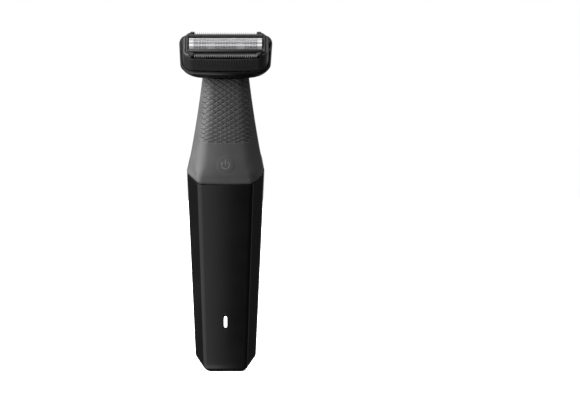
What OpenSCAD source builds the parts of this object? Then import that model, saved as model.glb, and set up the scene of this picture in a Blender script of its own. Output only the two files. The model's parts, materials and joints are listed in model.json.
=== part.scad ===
// Cordless body groomer: a tapered handle with a soft-touch neck sleeve and a tilted
// foil shaving head. Millimetres, +Z up, front towards -Y, origin on the base's resting face.

/* [Handle] */
// Height of the shoulder, where the handle is widest
shoulder_z = 119; // [115:0.5:122]
// Width at the shoulder
shoulder_w = 46.3; // [45:0.1:48]
// Width just above the base's cut corners
base_w = 36.2; // [35:0.1:38]
// Height of the base's cut corners
base_knee_z = 9.7; // [8:0.1:12]
// Wall of the two handle shells
shell_wall = 1.8; // [1.6:0.1:2.0]
// Rounding of the handle's long edges
edge_r = 3.2; // [2:0.1:4]

/* [Neck sleeve] */
// Width of the neck where the shaving head sits
neck_w = 28; // [27:0.1:29]
// Height on the front face where the sleeve meets the glossy shells
seam_z = 112; // [109:0.5:114]
// Tilt of that seam, which climbs towards the back
seam_tilt = 35.4; // [30:0.1:38]
// Wall of the soft-touch sleeve
sleeve_wall = 2; // [1.8:0.1:2.2]

/* [Power button] */
// Height of the button's centre
button_z = 123.6; // [121:0.1:125]
// Diameter of the button
button_d = 11; // [9:0.5:13]
// Travel of the button
button_travel = 0.35; // [0.2:0.05:0.4]

/* [Shaving head] */
// Lean of the head's face towards the front, from straight up
head_tilt = 35; // [33:0.5:37]
// Length of the head, along the foil
head_w = 56; // [54:0.5:58]
// Length of the foil
foil_w = 43.5; // [42:0.5:44]
// Pitch of the trimmer teeth
tooth_pitch = 1.26; // [1.2:0.01:1.4]

/* [Drive] */
// Offset of the drive pin from the motor's axis
pin_offset = 0.6; // [0.4:0.05:0.6]
// Radius of the lever's pivot pin
pivot_r = 1; // [0.9:0.05:1.1]
// Running clearance of a shaft in its hole
run = 0.04; // [0.02:0.01:0.08]

/* [Hidden] */
$fn = 32;

eps = 0.01;
big = 200;

// Depth of the handle, front face at -Y: [height, y] pairs for the front and the back.
foot_rise = 1.6;
foot_z = foot_rise / 2;
front_line = [[0, -9.8], [foot_z, -11.6], [foot_rise, -12.4], [base_knee_z, -13.6], [shoulder_z, -18]];
back_line = [[0, 9.8], [foot_z, 11.4], [foot_rise, 12.2], [base_knee_z, 13.4], [45, 15.9], [82, 17.2],
             [shoulder_z, 17.5]];
width_line = [[0, 9.2], [foot_z, 11.1], [foot_rise, 12.3], [base_knee_z, base_w / 2],
              [shoulder_z, shoulder_w / 2]];
neck_front_top = [175.5, -8.4];
neck_back_top = [186.5, 7.4];

// Where the shaving head parts from the neck: the head's own frame starts here.
head_y = -0.5;
head_z = 181;

// Heights in the head's frame, measured from the parting face.
foil_top = 21;
foil_r = 6.5;
foil_rise = 3.2;
foil_t = 0.1;
bar_top = 19.6;
trimmer_top = 17.6;
frame_top = 17;
frame_low = 7.8;
frame_half_w = head_w / 2 - 2.4;
frame_half_d = 12.6;
frame_corner = 5.6;
frame_gap = 0.25;
pocket_z = 6.7;
well_z = 3.4;
rim_mid = 11.3;
rim_slope = 15.4;

// Drive line, from the motor up to the cutter.
motor_z = 117;
motor_len = 26;
motor_top = motor_z + motor_len;
motor_cap_h = 2.2;
motor_half_d = 7.6;
plate_top = motor_top + 2.5;
eccentric_z = plate_top + 0.6;
eccentric_h = 4.6;
eccentric_bore = 2.8;
drive_pin_r = 0.75;
fork_z = eccentric_z + eccentric_h + 0.4;
fork_h = 4;
fork_gap = 2 * (drive_pin_r + 2 * pin_offset + 0.2);
pivot_z = 165;
bend_depth = 6;
lever_pin_r = 1.5;
lever_pin_top = 11.5;

board_y = -10.2;
board_t = 1.2;
led_z = 29.8;

GLOSS_BLACK = [0.03, 0.03, 0.032];
SOFT_GREY = [0.2, 0.2, 0.205];
MATTE_BLACK = [0.06, 0.06, 0.062];
STEEL = [0.78, 0.78, 0.8];
GOLD = [0.83, 0.69, 0.3];
BOARD_GREEN = [0.05, 0.28, 0.14];
COPPER = [0.72, 0.42, 0.2];
NATURAL = [0.85, 0.84, 0.8];

// ---------------------------------------------------------------- outline functions

// How far the neck still stands out at share t of its height: 1 at the shoulder, 0 at the top.
function flare(t) = 0.73 * (1 - t) + 0.27 * (1 - t) * (1 - t);
function neck_share(z, top_z) = (z - shoulder_z) / (top_z - shoulder_z);
function neck_value(z, top_z, top_v, low_v) = top_v + (low_v - top_v) * flare(neck_share(z, top_z));
function half_w(z) = z < shoulder_z ? lookup(z, width_line)
    : neck_value(z, neck_front_top[0], neck_w / 2, shoulder_w / 2);
function front_y(z) = z < shoulder_z ? lookup(z, front_line)
    : neck_value(z, neck_front_top[0], neck_front_top[1], lookup(shoulder_z, front_line));
function back_y(z) = z < shoulder_z ? lookup(z, back_line)
    : neck_value(z, neck_back_top[0], neck_back_top[1], lookup(shoulder_z, back_line));

// The handle's section at height z: a flat front between two bevels, straight sides and a rounder back.
function plan_points(z) =
    let (w = half_w(z), f = front_y(z), b = back_y(z), fw = 0.7 * w, bevel = 0.39 * w)
    [[-fw, f], [fw, f], [w, f + bevel], [w, b - 0.5 * w], [0.82 * w, b - 0.17 * w], [0.42 * w, b],
     [-0.42 * w, b], [-0.82 * w, b - 0.17 * w], [-w, b - 0.5 * w], [-w, f + bevel]];

// Half width, half depth and corner radius of the head bowl at height z of the head's frame.
function bowl_half_w(z) = lookup(z, [[0, 17], [1, 20.8], [2, 23.4], [3, 24.9], [4, 25.8], [6, 26.5],
                                     [10, 27.3], [14, head_w / 2], [17, head_w / 2]]);
function bowl_half_d(z) = lookup(z, [[0, 9.5], [1, 11], [2, 12], [4, 13], [6, 13.5], [10, 13.7], [17, 13.8]]);
function bowl_corner(z) = lookup(z, [[0, 6.6], [4, 8.4], [10, 6.8], [17, 6.2]]);

// ---------------------------------------------------------------- shared shapes

module at_head() translate([0, head_y, head_z]) rotate([head_tilt, 0, 0]) children();

module mirror_x() {
    children();
    mirror([1, 0, 0]) children();
}

module mirror_y() {
    children();
    mirror([0, 1, 0]) children();
}

// Everything under the tilted plane that runs along X through [y, z].
module under_plane(y, z, tilt, gap = 0)
    translate([0, y, z]) rotate([tilt, 0, 0])
        translate([-big, -big, -2 * big - gap]) cube([2 * big, 2 * big, 2 * big]);

module over_plane(y, z, tilt, gap = 0)
    translate([0, y, z]) rotate([tilt, 0, 0]) translate([-big, -big, gap]) cube([2 * big, 2 * big, 2 * big]);

module under_seam(gap = 0) under_plane(front_y(seam_z), seam_z, seam_tilt, gap);
module over_seam(gap = 0) over_plane(front_y(seam_z), seam_z, seam_tilt, gap);

module handle_slice(z, inset)
    translate([0, 0, z]) linear_extrude(eps)
        offset(r = edge_r) offset(delta = -edge_r - inset) polygon(plan_points(z));

// The handle's outer form, or its inside when inset is the wall.
module handle_form(inset, low) {
    levels = concat([for (z = [0, foot_z, foot_rise, base_knee_z, 45, 82, shoulder_z]) if (z > low) z],
                    [for (z = [125 : 8 : 181]) z], [192]);
    stack = concat([low], levels);
    for (i = [0 : len(stack) - 2])
        hull() {
            handle_slice(stack[i], inset);
            handle_slice(stack[i + 1], inset);
        }
}

module oval_outline(half_x, half_y, r) {
    square([2 * half_x, 2 * (half_y - r)], center = true);
    square([2 * (half_x - r), 2 * half_y], center = true);
    mirror_x() mirror_y() translate([half_x - r, half_y - r]) circle(r);
}

// A plate with rounded corners.
module rounded_plate(x, y, r, h) {
    translate([-x / 2 + r, -y / 2, 0]) cube([x - 2 * r, y, h]);
    translate([-x / 2, -y / 2 + r, 0]) cube([x, y - 2 * r, h]);
    mirror_x() mirror_y() translate([x / 2 - r, y / 2 - r, 0]) cylinder(r = r, h = h);
}

// A slot with round ends along X, x long and y wide.
module slot_bar(x, y, h) {
    translate([-(x - y) / 2, -y / 2, 0]) cube([x - y, y, h]);
    mirror_x() translate([(x - y) / 2, 0, 0]) cylinder(d = y, h = h);
}

module screw(head_r, shank_r, length) {
    difference() {
        cylinder(r = head_r, h = head_r * 0.7);
        translate([0, 0, head_r * 0.35]) cross_recess(head_r * 1.1);
    }
    translate([0, 0, -length]) cylinder(r = shank_r, h = length + eps);
}

module cross_recess(size)
    for (a = [0, 90]) rotate([0, 0, a]) translate([-size / 2, -size / 8, 0]) cube([size, size / 4, size]);

// A round wire wound into a compression spring.
module coil(r, wire, height, turns) {
    steps = 12;
    sides = 6;
    n = turns * steps;
    ring = [for (i = [0 : n]) for (k = [0 : sides - 1])
        let (a = 360 * i / steps, b = 360 * k / sides, q = r + wire * cos(b))
        [q * cos(a), q * sin(a), wire + (height - 2 * wire) * i / n + wire * sin(b)]];
    sides_faces = [for (i = [0 : n - 1]) for (k = [0 : sides - 1])
        let (k2 = (k + 1) % sides)
        [i * sides + k, (i + 1) * sides + k, (i + 1) * sides + k2, i * sides + k2]];
    polyhedron(ring, concat(sides_faces, [[for (k = [0 : sides - 1]) k],
                                          [for (k = [sides - 1 : -1 : 0]) n * sides + k]]));
}

// A round rod from one point to another.
module rod(from, to, r) {
    d = to - from;
    translate(from) rotate([0, acos(d[2] / norm(d)), atan2(d[1], d[0])]) cylinder(r = r, h = norm(d));
}

// A lead that runs straight between the points it is given.
module wire(points, r)
    for (i = [0 : len(points) - 2])
        hull() {
            translate(points[i]) sphere(r, $fn = 8);
            translate(points[i + 1]) sphere(r, $fn = 8);
        }

// ---------------------------------------------------------------- handle shells

battery_r = 7.1;
battery_y = 3.4;
battery_z = 22;
battery_len = 50;
battery_top = battery_z + battery_len + 1.2;
strip_t = 0.3;
chassis_y = -6.6;
chassis_t = 1.6;
screw_spots = [for (z = [16, 104]) for (x = [-11.6, 11.6]) [x, z]];
board_spots = [for (z = [46, 96]) for (x = [-6.5, 6.5]) [x, z]];
socket_x = 14.2;
socket_y = 9.6;
plug_x = 10.4;
plug_y = 7;
plug_depth = 8.5;
contact_r = 0.9;
contact_x = 2.4;
contact_z = 2;
contact_tail_r = 0.7;

module handle_skin() difference() {
    handle_form(0, 0);
    handle_form(shell_wall, 2.2);
    translate([0, 0, -eps]) rounded_plate(socket_x + 0.2, socket_y + 0.2, 3.1, 8);
}

module front_shell() color(GLOSS_BLACK) {
    difference() {
        intersection() {
            handle_skin();
            translate([-big, -big, 0]) cube([2 * big, big - 0.05, big]);
            under_seam();
        }
        at_front(led_z) rotate([0, 0, 90]) translate([0, 0, -8]) slot_bar(6.6, 1.8, 16);
    }
    // Bosses that take the case screws
    intersection() {
        handle_form(shell_wall / 2, 2);
        for (p = screw_spots) translate([p[0], chassis_y, p[1]]) rotate([90, 0, 0]) difference() {
            cylinder(r = 2.1, h = 14);
            translate([0, 0, -eps]) cylinder(r = 0.8, h = 4);
        }
    }
}

module back_shell() color(GLOSS_BLACK) {
    intersection() {
        handle_skin();
        translate([-big, 0.05, 0]) cube([2 * big, big, big]);
        under_seam();
    }
    // Ribs that press the battery against the chassis
    intersection() {
        handle_form(shell_wall / 2, 2);
        difference() {
            for (z = [30, 62]) translate([-14, 4, z]) cube([28, 16, 1.4]);
            translate([0, battery_y, 10]) cylinder(r = battery_r + 0.25, h = 80);
        }
    }
}

module grip_sleeve() color(SOFT_GREY) difference() {
    union() {
        difference() {
            handle_form(0, 105);
            under_seam(-0.1);
        }
        // Spigot that plugs into the two shells
        difference() {
            handle_form(shell_wall + 0.05, 104);
            under_seam(3);
            over_plane(0, 130, 0);
        }
    }
    handle_form(shell_wall + 0.9, 103);
    // Above the spigot the wall thins to the sleeve's own
    difference() {
        handle_form(sleeve_wall, 103);
        under_plane(0, 131, 0);
    }
    over_plane(head_y, head_z, head_tilt);
    at_front(button_z) translate([0, 0, -4]) cylinder(d = button_d + 2 * button_gap, h = 12);
}

// ---------------------------------------------------------------- button, light and socket

button_gap = 0.08;
button_flange_z = -4;
plunger_z = -5.4;
plunger_r = 1.2;
// Room under the button and its plunger for the full travel
press_room = button_travel + 0.25;
switch_top = button_flange_z - press_room;

// A frame on the front face at height z, with +Z out of the face.
module at_front(z) {
    lean = atan((front_y(z + 4) - front_y(z - 4)) / 8);
    translate([0, front_y(z), z]) rotate([90 - lean, 0, 0]) children();
}

module power_button() color(SOFT_GREY) at_front(button_z) {
    translate([0, 0, button_flange_z]) cylinder(d = button_d, h = -button_flange_z);
    translate([0, 0, button_flange_z]) cylinder(d = button_d + 2, h = 0.7);
}

module switch_plunger() color(NATURAL) at_front(button_z)
    translate([0, 0, plunger_z]) cylinder(r = plunger_r, h = button_flange_z - plunger_z);

module power_switch() color(MATTE_BLACK) difference() {
    at_front(button_z) translate([-3, -3, switch_top - 3]) cube([6, 6, 3]);
    at_front(button_z) translate([0, 0, plunger_z - press_room]) cylinder(r = plunger_r + run, h = 4);
    translate([-5, board_y, button_z - 6]) cube([10, 6, 12]);
}

module light_guide() color(NATURAL) at_front(led_z) rotate([0, 0, 90]) {
    translate([0, 0, -shell_wall]) slot_bar(6.5, 1.7, shell_wall);
    translate([0, 0, -shell_wall - 0.9]) slot_bar(9, 4, 0.88);
    translate([0, 0, -shell_wall - 0.1]) slot_bar(6.5, 1.7, 0.2);
}

module charging_socket() color(MATTE_BLACK) difference() {
    union() {
        rounded_plate(socket_x, socket_y, 3, 11);
        translate([0, 0, 3.2]) rounded_plate(18, 12.6, 3, 1.4);
    }
    translate([0, 0, -eps]) slot_bar(plug_x, plug_y, plug_depth);
    mirror_x() translate([contact_x, 0, 0]) cylinder(r = contact_tail_r + 0.02, h = 20);
}

module socket_pins() color(STEEL) mirror_x() translate([contact_x, 0, contact_z]) {
    cylinder(r = contact_r, h = plug_depth - contact_z - 0.02);
    cylinder(r = contact_tail_r, h = 12);
}

module socket_seal() color(MATTE_BLACK) translate([0, 0, 2.25]) difference() {
    rounded_plate(17, 11.8, 3, 0.9);
    translate([0, 0, -1]) rounded_plate(socket_x + 0.1, socket_y + 0.1, 3.05, 3);
}

// ---------------------------------------------------------------- chassis, power and board

post_x = 7.6;
post_y = 2;
ear_y = 4;
ear_t = 1.6;
motor_floor = motor_z - motor_cap_h;
motor_screw_x = 5.9;
motor_screw_y = -4.1;

module chassis() color(MATTE_BLACK) difference() {
    union() {
        // Spine between the board and the battery, with a foot on the socket's flange
        translate([-13.6, chassis_y, 13]) cube([27.2, chassis_t, 100]);
        translate([-8, chassis_y, 4.65]) cube([16, chassis_t, 10]);
        for (z = [battery_z - 3.4, battery_top + 0.8]) translate([-8, chassis_y, z]) cube([16, 14, 1.4]);
        // Motor box and plate
        translate([-12.4, chassis_y, 110]) cube([24.8, 15, plate_top - 110]);
        // Ears for the lever's pivot pin
        mirror_y() translate([-3.6, ear_y, plate_top - eps]) cube([7.2, ear_t, pivot_z + 3 - plate_top]);
        // Posts that carry the neck collar
        mirror_x() translate([post_x, post_y, plate_top - eps]) cylinder(r = 2, h = 32);
        for (p = board_spots) translate([p[0], chassis_y + eps, p[1]]) rotate([90, 0, 0])
            cylinder(r = 1.8, h = chassis_y - board_y - board_t);
    }
    translate([-10.4, -motor_half_d - 0.1, motor_floor - 0.03])
        cube([20.8, 2 * motor_half_d + 0.2, motor_top - motor_floor + 0.03]);
    mirror_x() translate([4.6, -2.4, 100]) cube([4, 4.8, 20]);
    translate([0, 0, 100]) cylinder(r = 3, h = 20);
    translate([0, 0, motor_top - 1]) cylinder(r = 3.6, h = 10);
    mirror_x() translate([motor_screw_x, motor_screw_y, motor_top - 1]) cylinder(r = 1.05, h = 10);
    translate([0, 20, pivot_z]) rotate([90, 0, 0]) cylinder(r = pivot_r + 0.02, h = 40);
    for (p = screw_spots) translate([p[0], 0, p[1]]) rotate([90, 0, 0]) cylinder(r = 1.1, h = 20);
    for (p = board_spots) translate([p[0], chassis_y + 1, p[1]]) rotate([90, 0, 0]) cylinder(r = 0.7, h = 6);
    // Slots for the battery's strips and a window for the socket's leads
    for (z = [battery_z - 0.6, battery_top - 0.1]) translate([-3.3, -10, z]) cube([6.6, 6, 0.6]);
    translate([-4.5, -10, 15.2]) cube([9, 6, 2.8]);
    // The posts end under the tilted collar and take its screws
    at_head() translate([-big, -big, -collar_t - 0.05]) cube([2 * big, 2 * big, big]);
    at_head() mirror_x() translate([collar_screw_x, 0, -7]) cylinder(r = 0.85, h = 8);
}

module battery_cell() color([0.1, 0.32, 0.55]) translate([0, battery_y, battery_z]) {
    cylinder(r = battery_r, h = battery_len);
    translate([0, 0, battery_len - eps]) cylinder(r = 2.7, h = 1.2);
}

module battery_tabs() color(STEEL)
    for (z = [battery_z - 0.05 - strip_t, battery_top + 0.05])
        translate([-3, board_y + board_t + 0.02, z]) cube([6, 14, strip_t]);

module circuit_board() color(BOARD_GREEN) difference() {
    translate([-9, board_y, 23]) cube([18, board_t, 107]);
    for (p = board_spots) translate([p[0], 0, p[1]]) rotate([90, 0, 0]) cylinder(r = 0.8, h = 20);
}

module board_parts() color([0.1, 0.1, 0.1]) {
    // Charge controller, coil, capacitors and a row of resistors
    translate([-2.5, board_y - 1.3, 60]) cube([5, 1.3, 6]);
    translate([-6.5, board_y - 1.1, 72]) cube([4, 1.1, 3]);
    translate([2.5, board_y - 1.1, 72]) cube([4, 1.1, 3]);
    translate([0, board_y, 84]) rotate([90, 0, 0]) cylinder(r = 3.2, h = 3);
    for (x = [-6, -3.6, -1.2, 1.2, 3.6, 6]) translate([x - 0.6, board_y - 0.7, 38]) cube([1.2, 0.7, 2.2]);
}

module indicator_led() color([0.95, 0.95, 0.9])
    translate([-1.5, board_y - 0.8, led_z - 1.7]) cube([3, 0.8, 3.4]);

module board_screws() color(STEEL) for (p = board_spots)
    translate([p[0], board_y, p[1]]) rotate([90, 0, 0]) screw(1.5, 0.65, 3.4);

module case_screws() color(STEEL) for (p = screw_spots)
    translate([p[0], chassis_y + chassis_t, p[1]]) rotate([-90, 0, 0]) screw(1.9, 0.75, 5);

module lead_wires() color([0.7, 0.08, 0.08]) mirror_x() {
    // From the board up to the motor, and from the charging pins up to the board
    wire([[9.6, -8.2, 90], [14.9, -8.2, 91], [14.9, -3.6, 94], [12, -1, 103], [6.2, 0, 109.8]], 0.5);
    wire([[2.4, 0, 14.55], [2.4, -2, 16.4], [2.4, -8.3, 16.6], [2.4, -9.6, 22.4]], 0.5);
}

// ---------------------------------------------------------------- motor

// The flat-sided round of the motor's can.
module motor_round(r, half_d, h) intersection() {
    cylinder(r = r, h = h);
    translate([-r - 1, -half_d, 0]) cube([2 * r + 2, 2 * half_d, h]);
}

module motor_can() color(STEEL) translate([0, 0, motor_z]) difference() {
    motor_round(10.2, motor_half_d, motor_len - 0.05);
    translate([0, 0, -1]) motor_round(9.7, motor_half_d - 0.5, motor_len);
    cylinder(r = 3.02, h = 40);
    mirror_x() translate([motor_screw_x, motor_screw_y, 10]) cylinder(r = 0.8, h = 30);
}

module motor_end_cap() color([0.9, 0.9, 0.86]) translate([0, 0, motor_floor]) difference() {
    motor_round(10.2, motor_half_d, motor_cap_h - 0.02);
    translate([0, 0, 0.8]) cylinder(r = 1 + run, h = 4);
    mirror_x() translate([5.9, -1.3, -1]) cube([0.6, 2.6, 5]);
}

module motor_magnets() color([0.2, 0.2, 0.22]) translate([0, 0, motor_z + 4]) difference() {
    motor_round(9.65, 5.6, 16);
    translate([0, 0, -1]) cylinder(r = 6.8, h = 20);
}

module motor_bearing() color(GOLD) translate([0, 0, motor_top - 1.6]) difference() {
    cylinder(r = 3, h = 3.2);
    translate([0, 0, -1]) cylinder(r = 1 + run, h = 6);
}

module motor_brushes() color(COPPER) mirror_x() {
    translate([6, -1.2, motor_z - 5.6]) cube([0.4, 2.4, 8.4]);
    translate([1.95, -0.8, motor_z + 2.4]) cube([4.2, 1.6, 0.4]);
}

module motor_screws() color(STEEL) mirror_x()
    translate([motor_screw_x, motor_screw_y, plate_top]) screw(1.7, 0.75, 3);

module motor_shaft() color(STEEL)
    translate([0, 0, motor_z - 1.2]) cylinder(r = 1, h = eccentric_z + eccentric_bore - motor_z + 1.2);

module motor_rotor() color(COPPER) translate([0, 0, motor_z + 2]) difference() {
    union() {
        cylinder(r = 1.9, h = 3.5);
        // Three poles
        translate([0, 0, 3]) difference() {
            cylinder(r = 6.4, h = 14);
            for (a = [60, 180, 300]) rotate([0, 0, a]) translate([-1.3, 2.9, -1]) cube([2.6, 8, 16]);
        }
    }
    translate([0, 0, -1]) cylinder(r = 1, h = 30);
}

module drive_eccentric() color(NATURAL) translate([0, 0, eccentric_z]) difference() {
    cylinder(r = 3.4, h = eccentric_h);
    translate([0, 0, -1]) cylinder(r = 1, h = 1 + eccentric_bore);
    translate([pin_offset, 0, eccentric_bore + 0.1]) cylinder(r = drive_pin_r, h = 4);
}

module eccentric_pin() color(STEEL) translate([pin_offset, 0, eccentric_z + eccentric_bore + 0.1])
    cylinder(r = drive_pin_r, h = fork_z + fork_h - 0.4 - eccentric_z - eccentric_bore - 0.1);

// ---------------------------------------------------------------- lever and neck

// Where the lever's stem bends to run along the head's own axis.
bend = [0, head_y + bend_depth * sin(head_tilt), head_z - bend_depth * cos(head_tilt)];

module drive_lever() color(NATURAL) difference() {
    union() {
        // Fork round the eccentric's pin, then the web up to the pivot boss
        translate([-4.2, -2.8, fork_z]) cube([8.4, 5.6, fork_h + 2]);
        translate([-2.2, -2.2, fork_z + fork_h]) cube([4.4, 4.4, pivot_z - fork_z - fork_h]);
        translate([0, 3.8, pivot_z]) rotate([90, 0, 0]) cylinder(r = 3, h = 7.6);
        rod([0, 0, pivot_z], bend, 1.8);
        translate(bend) sphere(2);
        at_head() translate([0, 0, -bend_depth]) cylinder(r = lever_pin_r, h = bend_depth + lever_pin_top);
    }
    translate([-fork_gap / 2, -10, fork_z - eps]) cube([fork_gap, 20, fork_h]);
    translate([0, 10, pivot_z]) rotate([90, 0, 0]) cylinder(r = pivot_r + run, h = 20);
}

module pivot_pin() color(STEEL)
    translate([0, ear_y + ear_t, pivot_z]) rotate([90, 0, 0]) cylinder(r = pivot_r, h = 2 * (ear_y + ear_t));

boss_x = 18;
boss_y = 10.4;
boss_h = 4;
collar_t = 2.6;
collar_screw_x = 7;
groove_z = 0.5;
groove_h = 1.2;
groove_deep = 0.6;

module neck_collar() color(MATTE_BLACK) at_head() difference() {
    union() {
        translate([0, -0.7, -collar_t]) rounded_plate(20.4, 11, 4.8, collar_t);
        rounded_plate(boss_x, boss_y, 3, boss_h);
    }
    translate([0, 0, -5]) cylinder(r = 3.6, h = 20);
    mirror_x() translate([collar_screw_x, 0, -5]) cylinder(r = 1.05, h = 20);
    mirror_x() translate([collar_screw_x, 0, 2]) cylinder(r = 1.85, h = 20);
    translate([0, 0, groove_z]) difference() {
        rounded_plate(boss_x + 4, boss_y + 4, 3, groove_h);
        translate([0, 0, -1]) rounded_plate(boss_x - 2 * groove_deep, boss_y - 2 * groove_deep, 2.4, 4);
    }
}

module collar_screws() color(STEEL) at_head() mirror_x()
    translate([collar_screw_x, 0, 2]) screw(1.7, 0.8, 8);

module collar_seal() color(MATTE_BLACK) at_head() translate([0, 0, groove_z + 0.05]) difference() {
    rounded_plate(boss_x + 0.3, boss_y + 0.3, 3.1, groove_h - 0.1);
    translate([0, 0, -1]) rounded_plate(boss_x - 1.1, boss_y - 1.1, 2.45, 3);
}

module drive_seal() color([0.16, 0.16, 0.17]) at_head() difference() {
    union() {
        translate([0, 0, -2]) cylinder(r = 3.55, h = 5);
        translate([0, 0, 3]) cylinder(r1 = 3.55, r2 = 3, h = 1.6);
    }
    translate([0, 0, -3]) cylinder(r = 2.7, h = 10);
}

// ---------------------------------------------------------------- shaving head

corner_steps = 8;

// One level of the bowl: a rectangle with round corners, counted from the front right corner.
function bowl_ring(z) =
    let (r = bowl_corner(z), x = bowl_half_w(z) - r, y = bowl_half_d(z) - r)
    [for (q = [0 : 3]) for (k = [0 : corner_steps])
        let (a = 90 * (q - 1 + k / corner_steps), side = q < 2 ? 1 : -1, depth = q == 0 || q == 3 ? -1 : 1)
        [side * x + r * cos(a), depth * y + r * sin(a), z]];

// A solid through rings of points that all count the same way round.
module loft(rings) {
    n = len(rings[0]);
    sides = [for (i = [0 : len(rings) - 2]) for (k = [0 : n - 1]) for (half = [0, 1])
        let (k2 = (k + 1) % n)
        half == 0 ? [i * n + k, (i + 1) * n + k, (i + 1) * n + k2] : [i * n + k, (i + 1) * n + k2, i * n + k2]];
    polyhedron([for (ring = rings) for (p = ring) p],
               concat(sides, [[for (k = [0 : n - 1]) k],
                              [for (k = [n - 1 : -1 : 0]) (len(rings) - 1) * n + k]]));
}

module bowl_form() loft([for (z = [0, 1, 2, 3, 4, 6, 10, 14, 17]) bowl_ring(z)]);

skirt_low = 6.5;
skirt_half_w = 17.5;

module head_bowl() color(GLOSS_BLACK) at_head() difference() {
    translate([0, 0, 0.12]) bowl_form();
    over_plane(0, rim_mid, rim_slope);
    // Pocket that the cassette floats in, with a narrower well under it
    translate([0, 0, pocket_z]) linear_extrude(30)
        oval_outline(frame_half_w + frame_gap, frame_half_d + frame_gap, frame_corner + frame_gap);
    translate([-skirt_half_w - 0.3, -frame_half_d - frame_gap, skirt_low - 1.1])
        cube([2 * skirt_half_w + 0.6, 4, 10]);
    translate([0, 0, well_z]) linear_extrude(10) oval_outline(22.4, 10.6, 5);
    // Opening for the collar's boss and slots for the two latch springs
    translate([0, 0, -1]) linear_extrude(10) oval_outline(boss_x / 2 + 0.25, boss_y / 2 + 0.25, 3.2);
    mirror_x() translate([boss_x / 2 + 0.2, -3, -1]) cube([1.5, 6, 20]);
}

module latch_springs() color(STEEL) at_head() mirror_x() translate([boss_x / 2 + 0.3, -2.8, 0.4]) {
    cube([0.4, 5.6, 3.4]);
    translate([0, 0, 3.03]) cube([4, 5.6, 0.37]);
}

module float_springs() color(STEEL) at_head() mirror_x() translate([18, 0, well_z + 0.02])
    coil(2, 0.3, frame_low - well_z - 0.04, 5);

module frame_slab(low, high) translate([0, 0, low]) linear_extrude(high - low)
    oval_outline(frame_half_w, frame_half_d, frame_corner);

module cassette_frame() color(MATTE_BLACK) at_head() {
    difference() {
        union() {
            frame_slab(frame_low, frame_top);
            translate([-skirt_half_w, -frame_half_d, skirt_low]) cube([2 * skirt_half_w, 1.7, 2]);
            // End cheeks, crowned over the foil's ends
            intersection() {
                frame_slab(10, 22);
                mirror_x() cheek_form();
            }
        }
        // Middle opening for the cutter, foil and trimmers
        translate([-22.3, -10.9, 0]) cube([44.6, 21.8, 30]);
        // Seats for the two trimmer guards
        mirror_y() translate([-20.6, 9, 15.8]) cube([41.2, 10, 30]);
    }
    // Bridges under the cutter that the springs push on
    mirror_x() translate([15.6, -11, frame_low]) cube([6.8, 22, 1.4]);
}

module cheek_form() hull() {
    translate([22.3, -11, 16]) cube([3, 22, 0.5]);
    translate([22.3, -8.5, 18.4]) cube([1.6, 17, 0.6]);
    translate([20.6, -12.4, 16]) cube([2.4, 24.8, 0.6]);
    translate([20.6, -11.8, 18.1]) cube([1.4, 23.6, 0.5]);
}

bar_len = 44.4;
bar_y = 6.9;
bar_w = 2.3;
bar_round = 0.8;
bar_low = 16.2;

module skin_bars() color(MATTE_BLACK) at_head() mirror_y() translate([-bar_len / 2, bar_y, 0]) {
    translate([0, 0, bar_low]) cube([bar_len, bar_w, bar_top - bar_round - bar_low]);
    // Rounded crest
    for (y = [bar_round - 0.1, bar_w - bar_round]) translate([0, y, bar_top - bar_round])
        rotate([0, 90, 0]) cylinder(r = bar_round, h = bar_len);
}

foil_axis_z = foil_top - foil_r;

// Shell of a lying cylinder, kept where it rises over the foil's edges.
module arch(r, t, low, length) intersection() {
    translate([-length / 2, 0, foil_axis_z]) rotate([0, 90, 0]) difference() {
        cylinder(r = r, h = length, $fn = 64);
        translate([0, 0, -1]) cylinder(r = r - t, h = length + 2, $fn = 64);
    }
    translate([-length, -r, low]) cube([2 * length, 2 * r, 2 * r]);
}

module foil() color(STEEL) at_head() arch(foil_r, foil_t, foil_top - foil_rise - 1.2, foil_w);

module foil_clamps() color(MATTE_BLACK) at_head() mirror_y()
    translate([-foil_w / 2, 6.35, 15.6]) cube([foil_w, 0.45, 2.4]);

tooth_count = 30;

module tooth_row(length, root_w) for (i = [0 : tooth_count - 1])
    translate([(i - (tooth_count - 1) / 2) * tooth_pitch - root_w / 2, 0, 0]) cube([root_w, length, 0.3]);

module trimmer_guards() color(STEEL) at_head() mirror_y() translate([0, 9.9, trimmer_top - 0.3]) {
    translate([-20.4, -0.4, 0]) cube([40.8, 1.6, 0.3]);
    translate([0, 1.2 - eps, 0]) tooth_row(1.5, 0.5);
}

module trimmer_blades() color(STEEL) at_head() mirror_y() translate([0, 9.9, trimmer_top - 0.65]) {
    translate([-18.6, -0.4, 0]) cube([37.2, 1.6, 0.3]);
    translate([0, 1.2 - eps, 0]) intersection() {
        tooth_row(1.2, 0.7);
        translate([-18.6, -1, -1]) cube([37.2, 4, 3]);
    }
}

carrier_low = 9.9;
pin_side_gap = 0.12;

module cutter_carrier() color(MATTE_BLACK) at_head() difference() {
    union() {
        translate([-19.4, -4.2, carrier_low + 2]) cube([38.8, 8.4, 2.2]);
        translate([-5, -4.2, carrier_low - 2]) cube([10, 8.4, 4.5]);
        // Arms out to the trimmer blades
        mirror_x() mirror_y() translate([12, 4, carrier_low + 2]) cube([3, 6, 2.2]);
        mirror_x() mirror_y() translate([12, 9.5, carrier_low + 2]) cube([3, 1.3, trimmer_top - 0.66 - carrier_low - 2]);
    }
    translate([-lever_pin_r - pin_side_gap, -3, 0]) cube([2 * (lever_pin_r + pin_side_gap), 6, 13.3]);
    mirror_x() translate([9, 0, carrier_low + 3.2]) cylinder(r = 2, h = 5);
}

blade_r = foil_r - foil_t - 0.05;
blade_count = 25;

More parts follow.
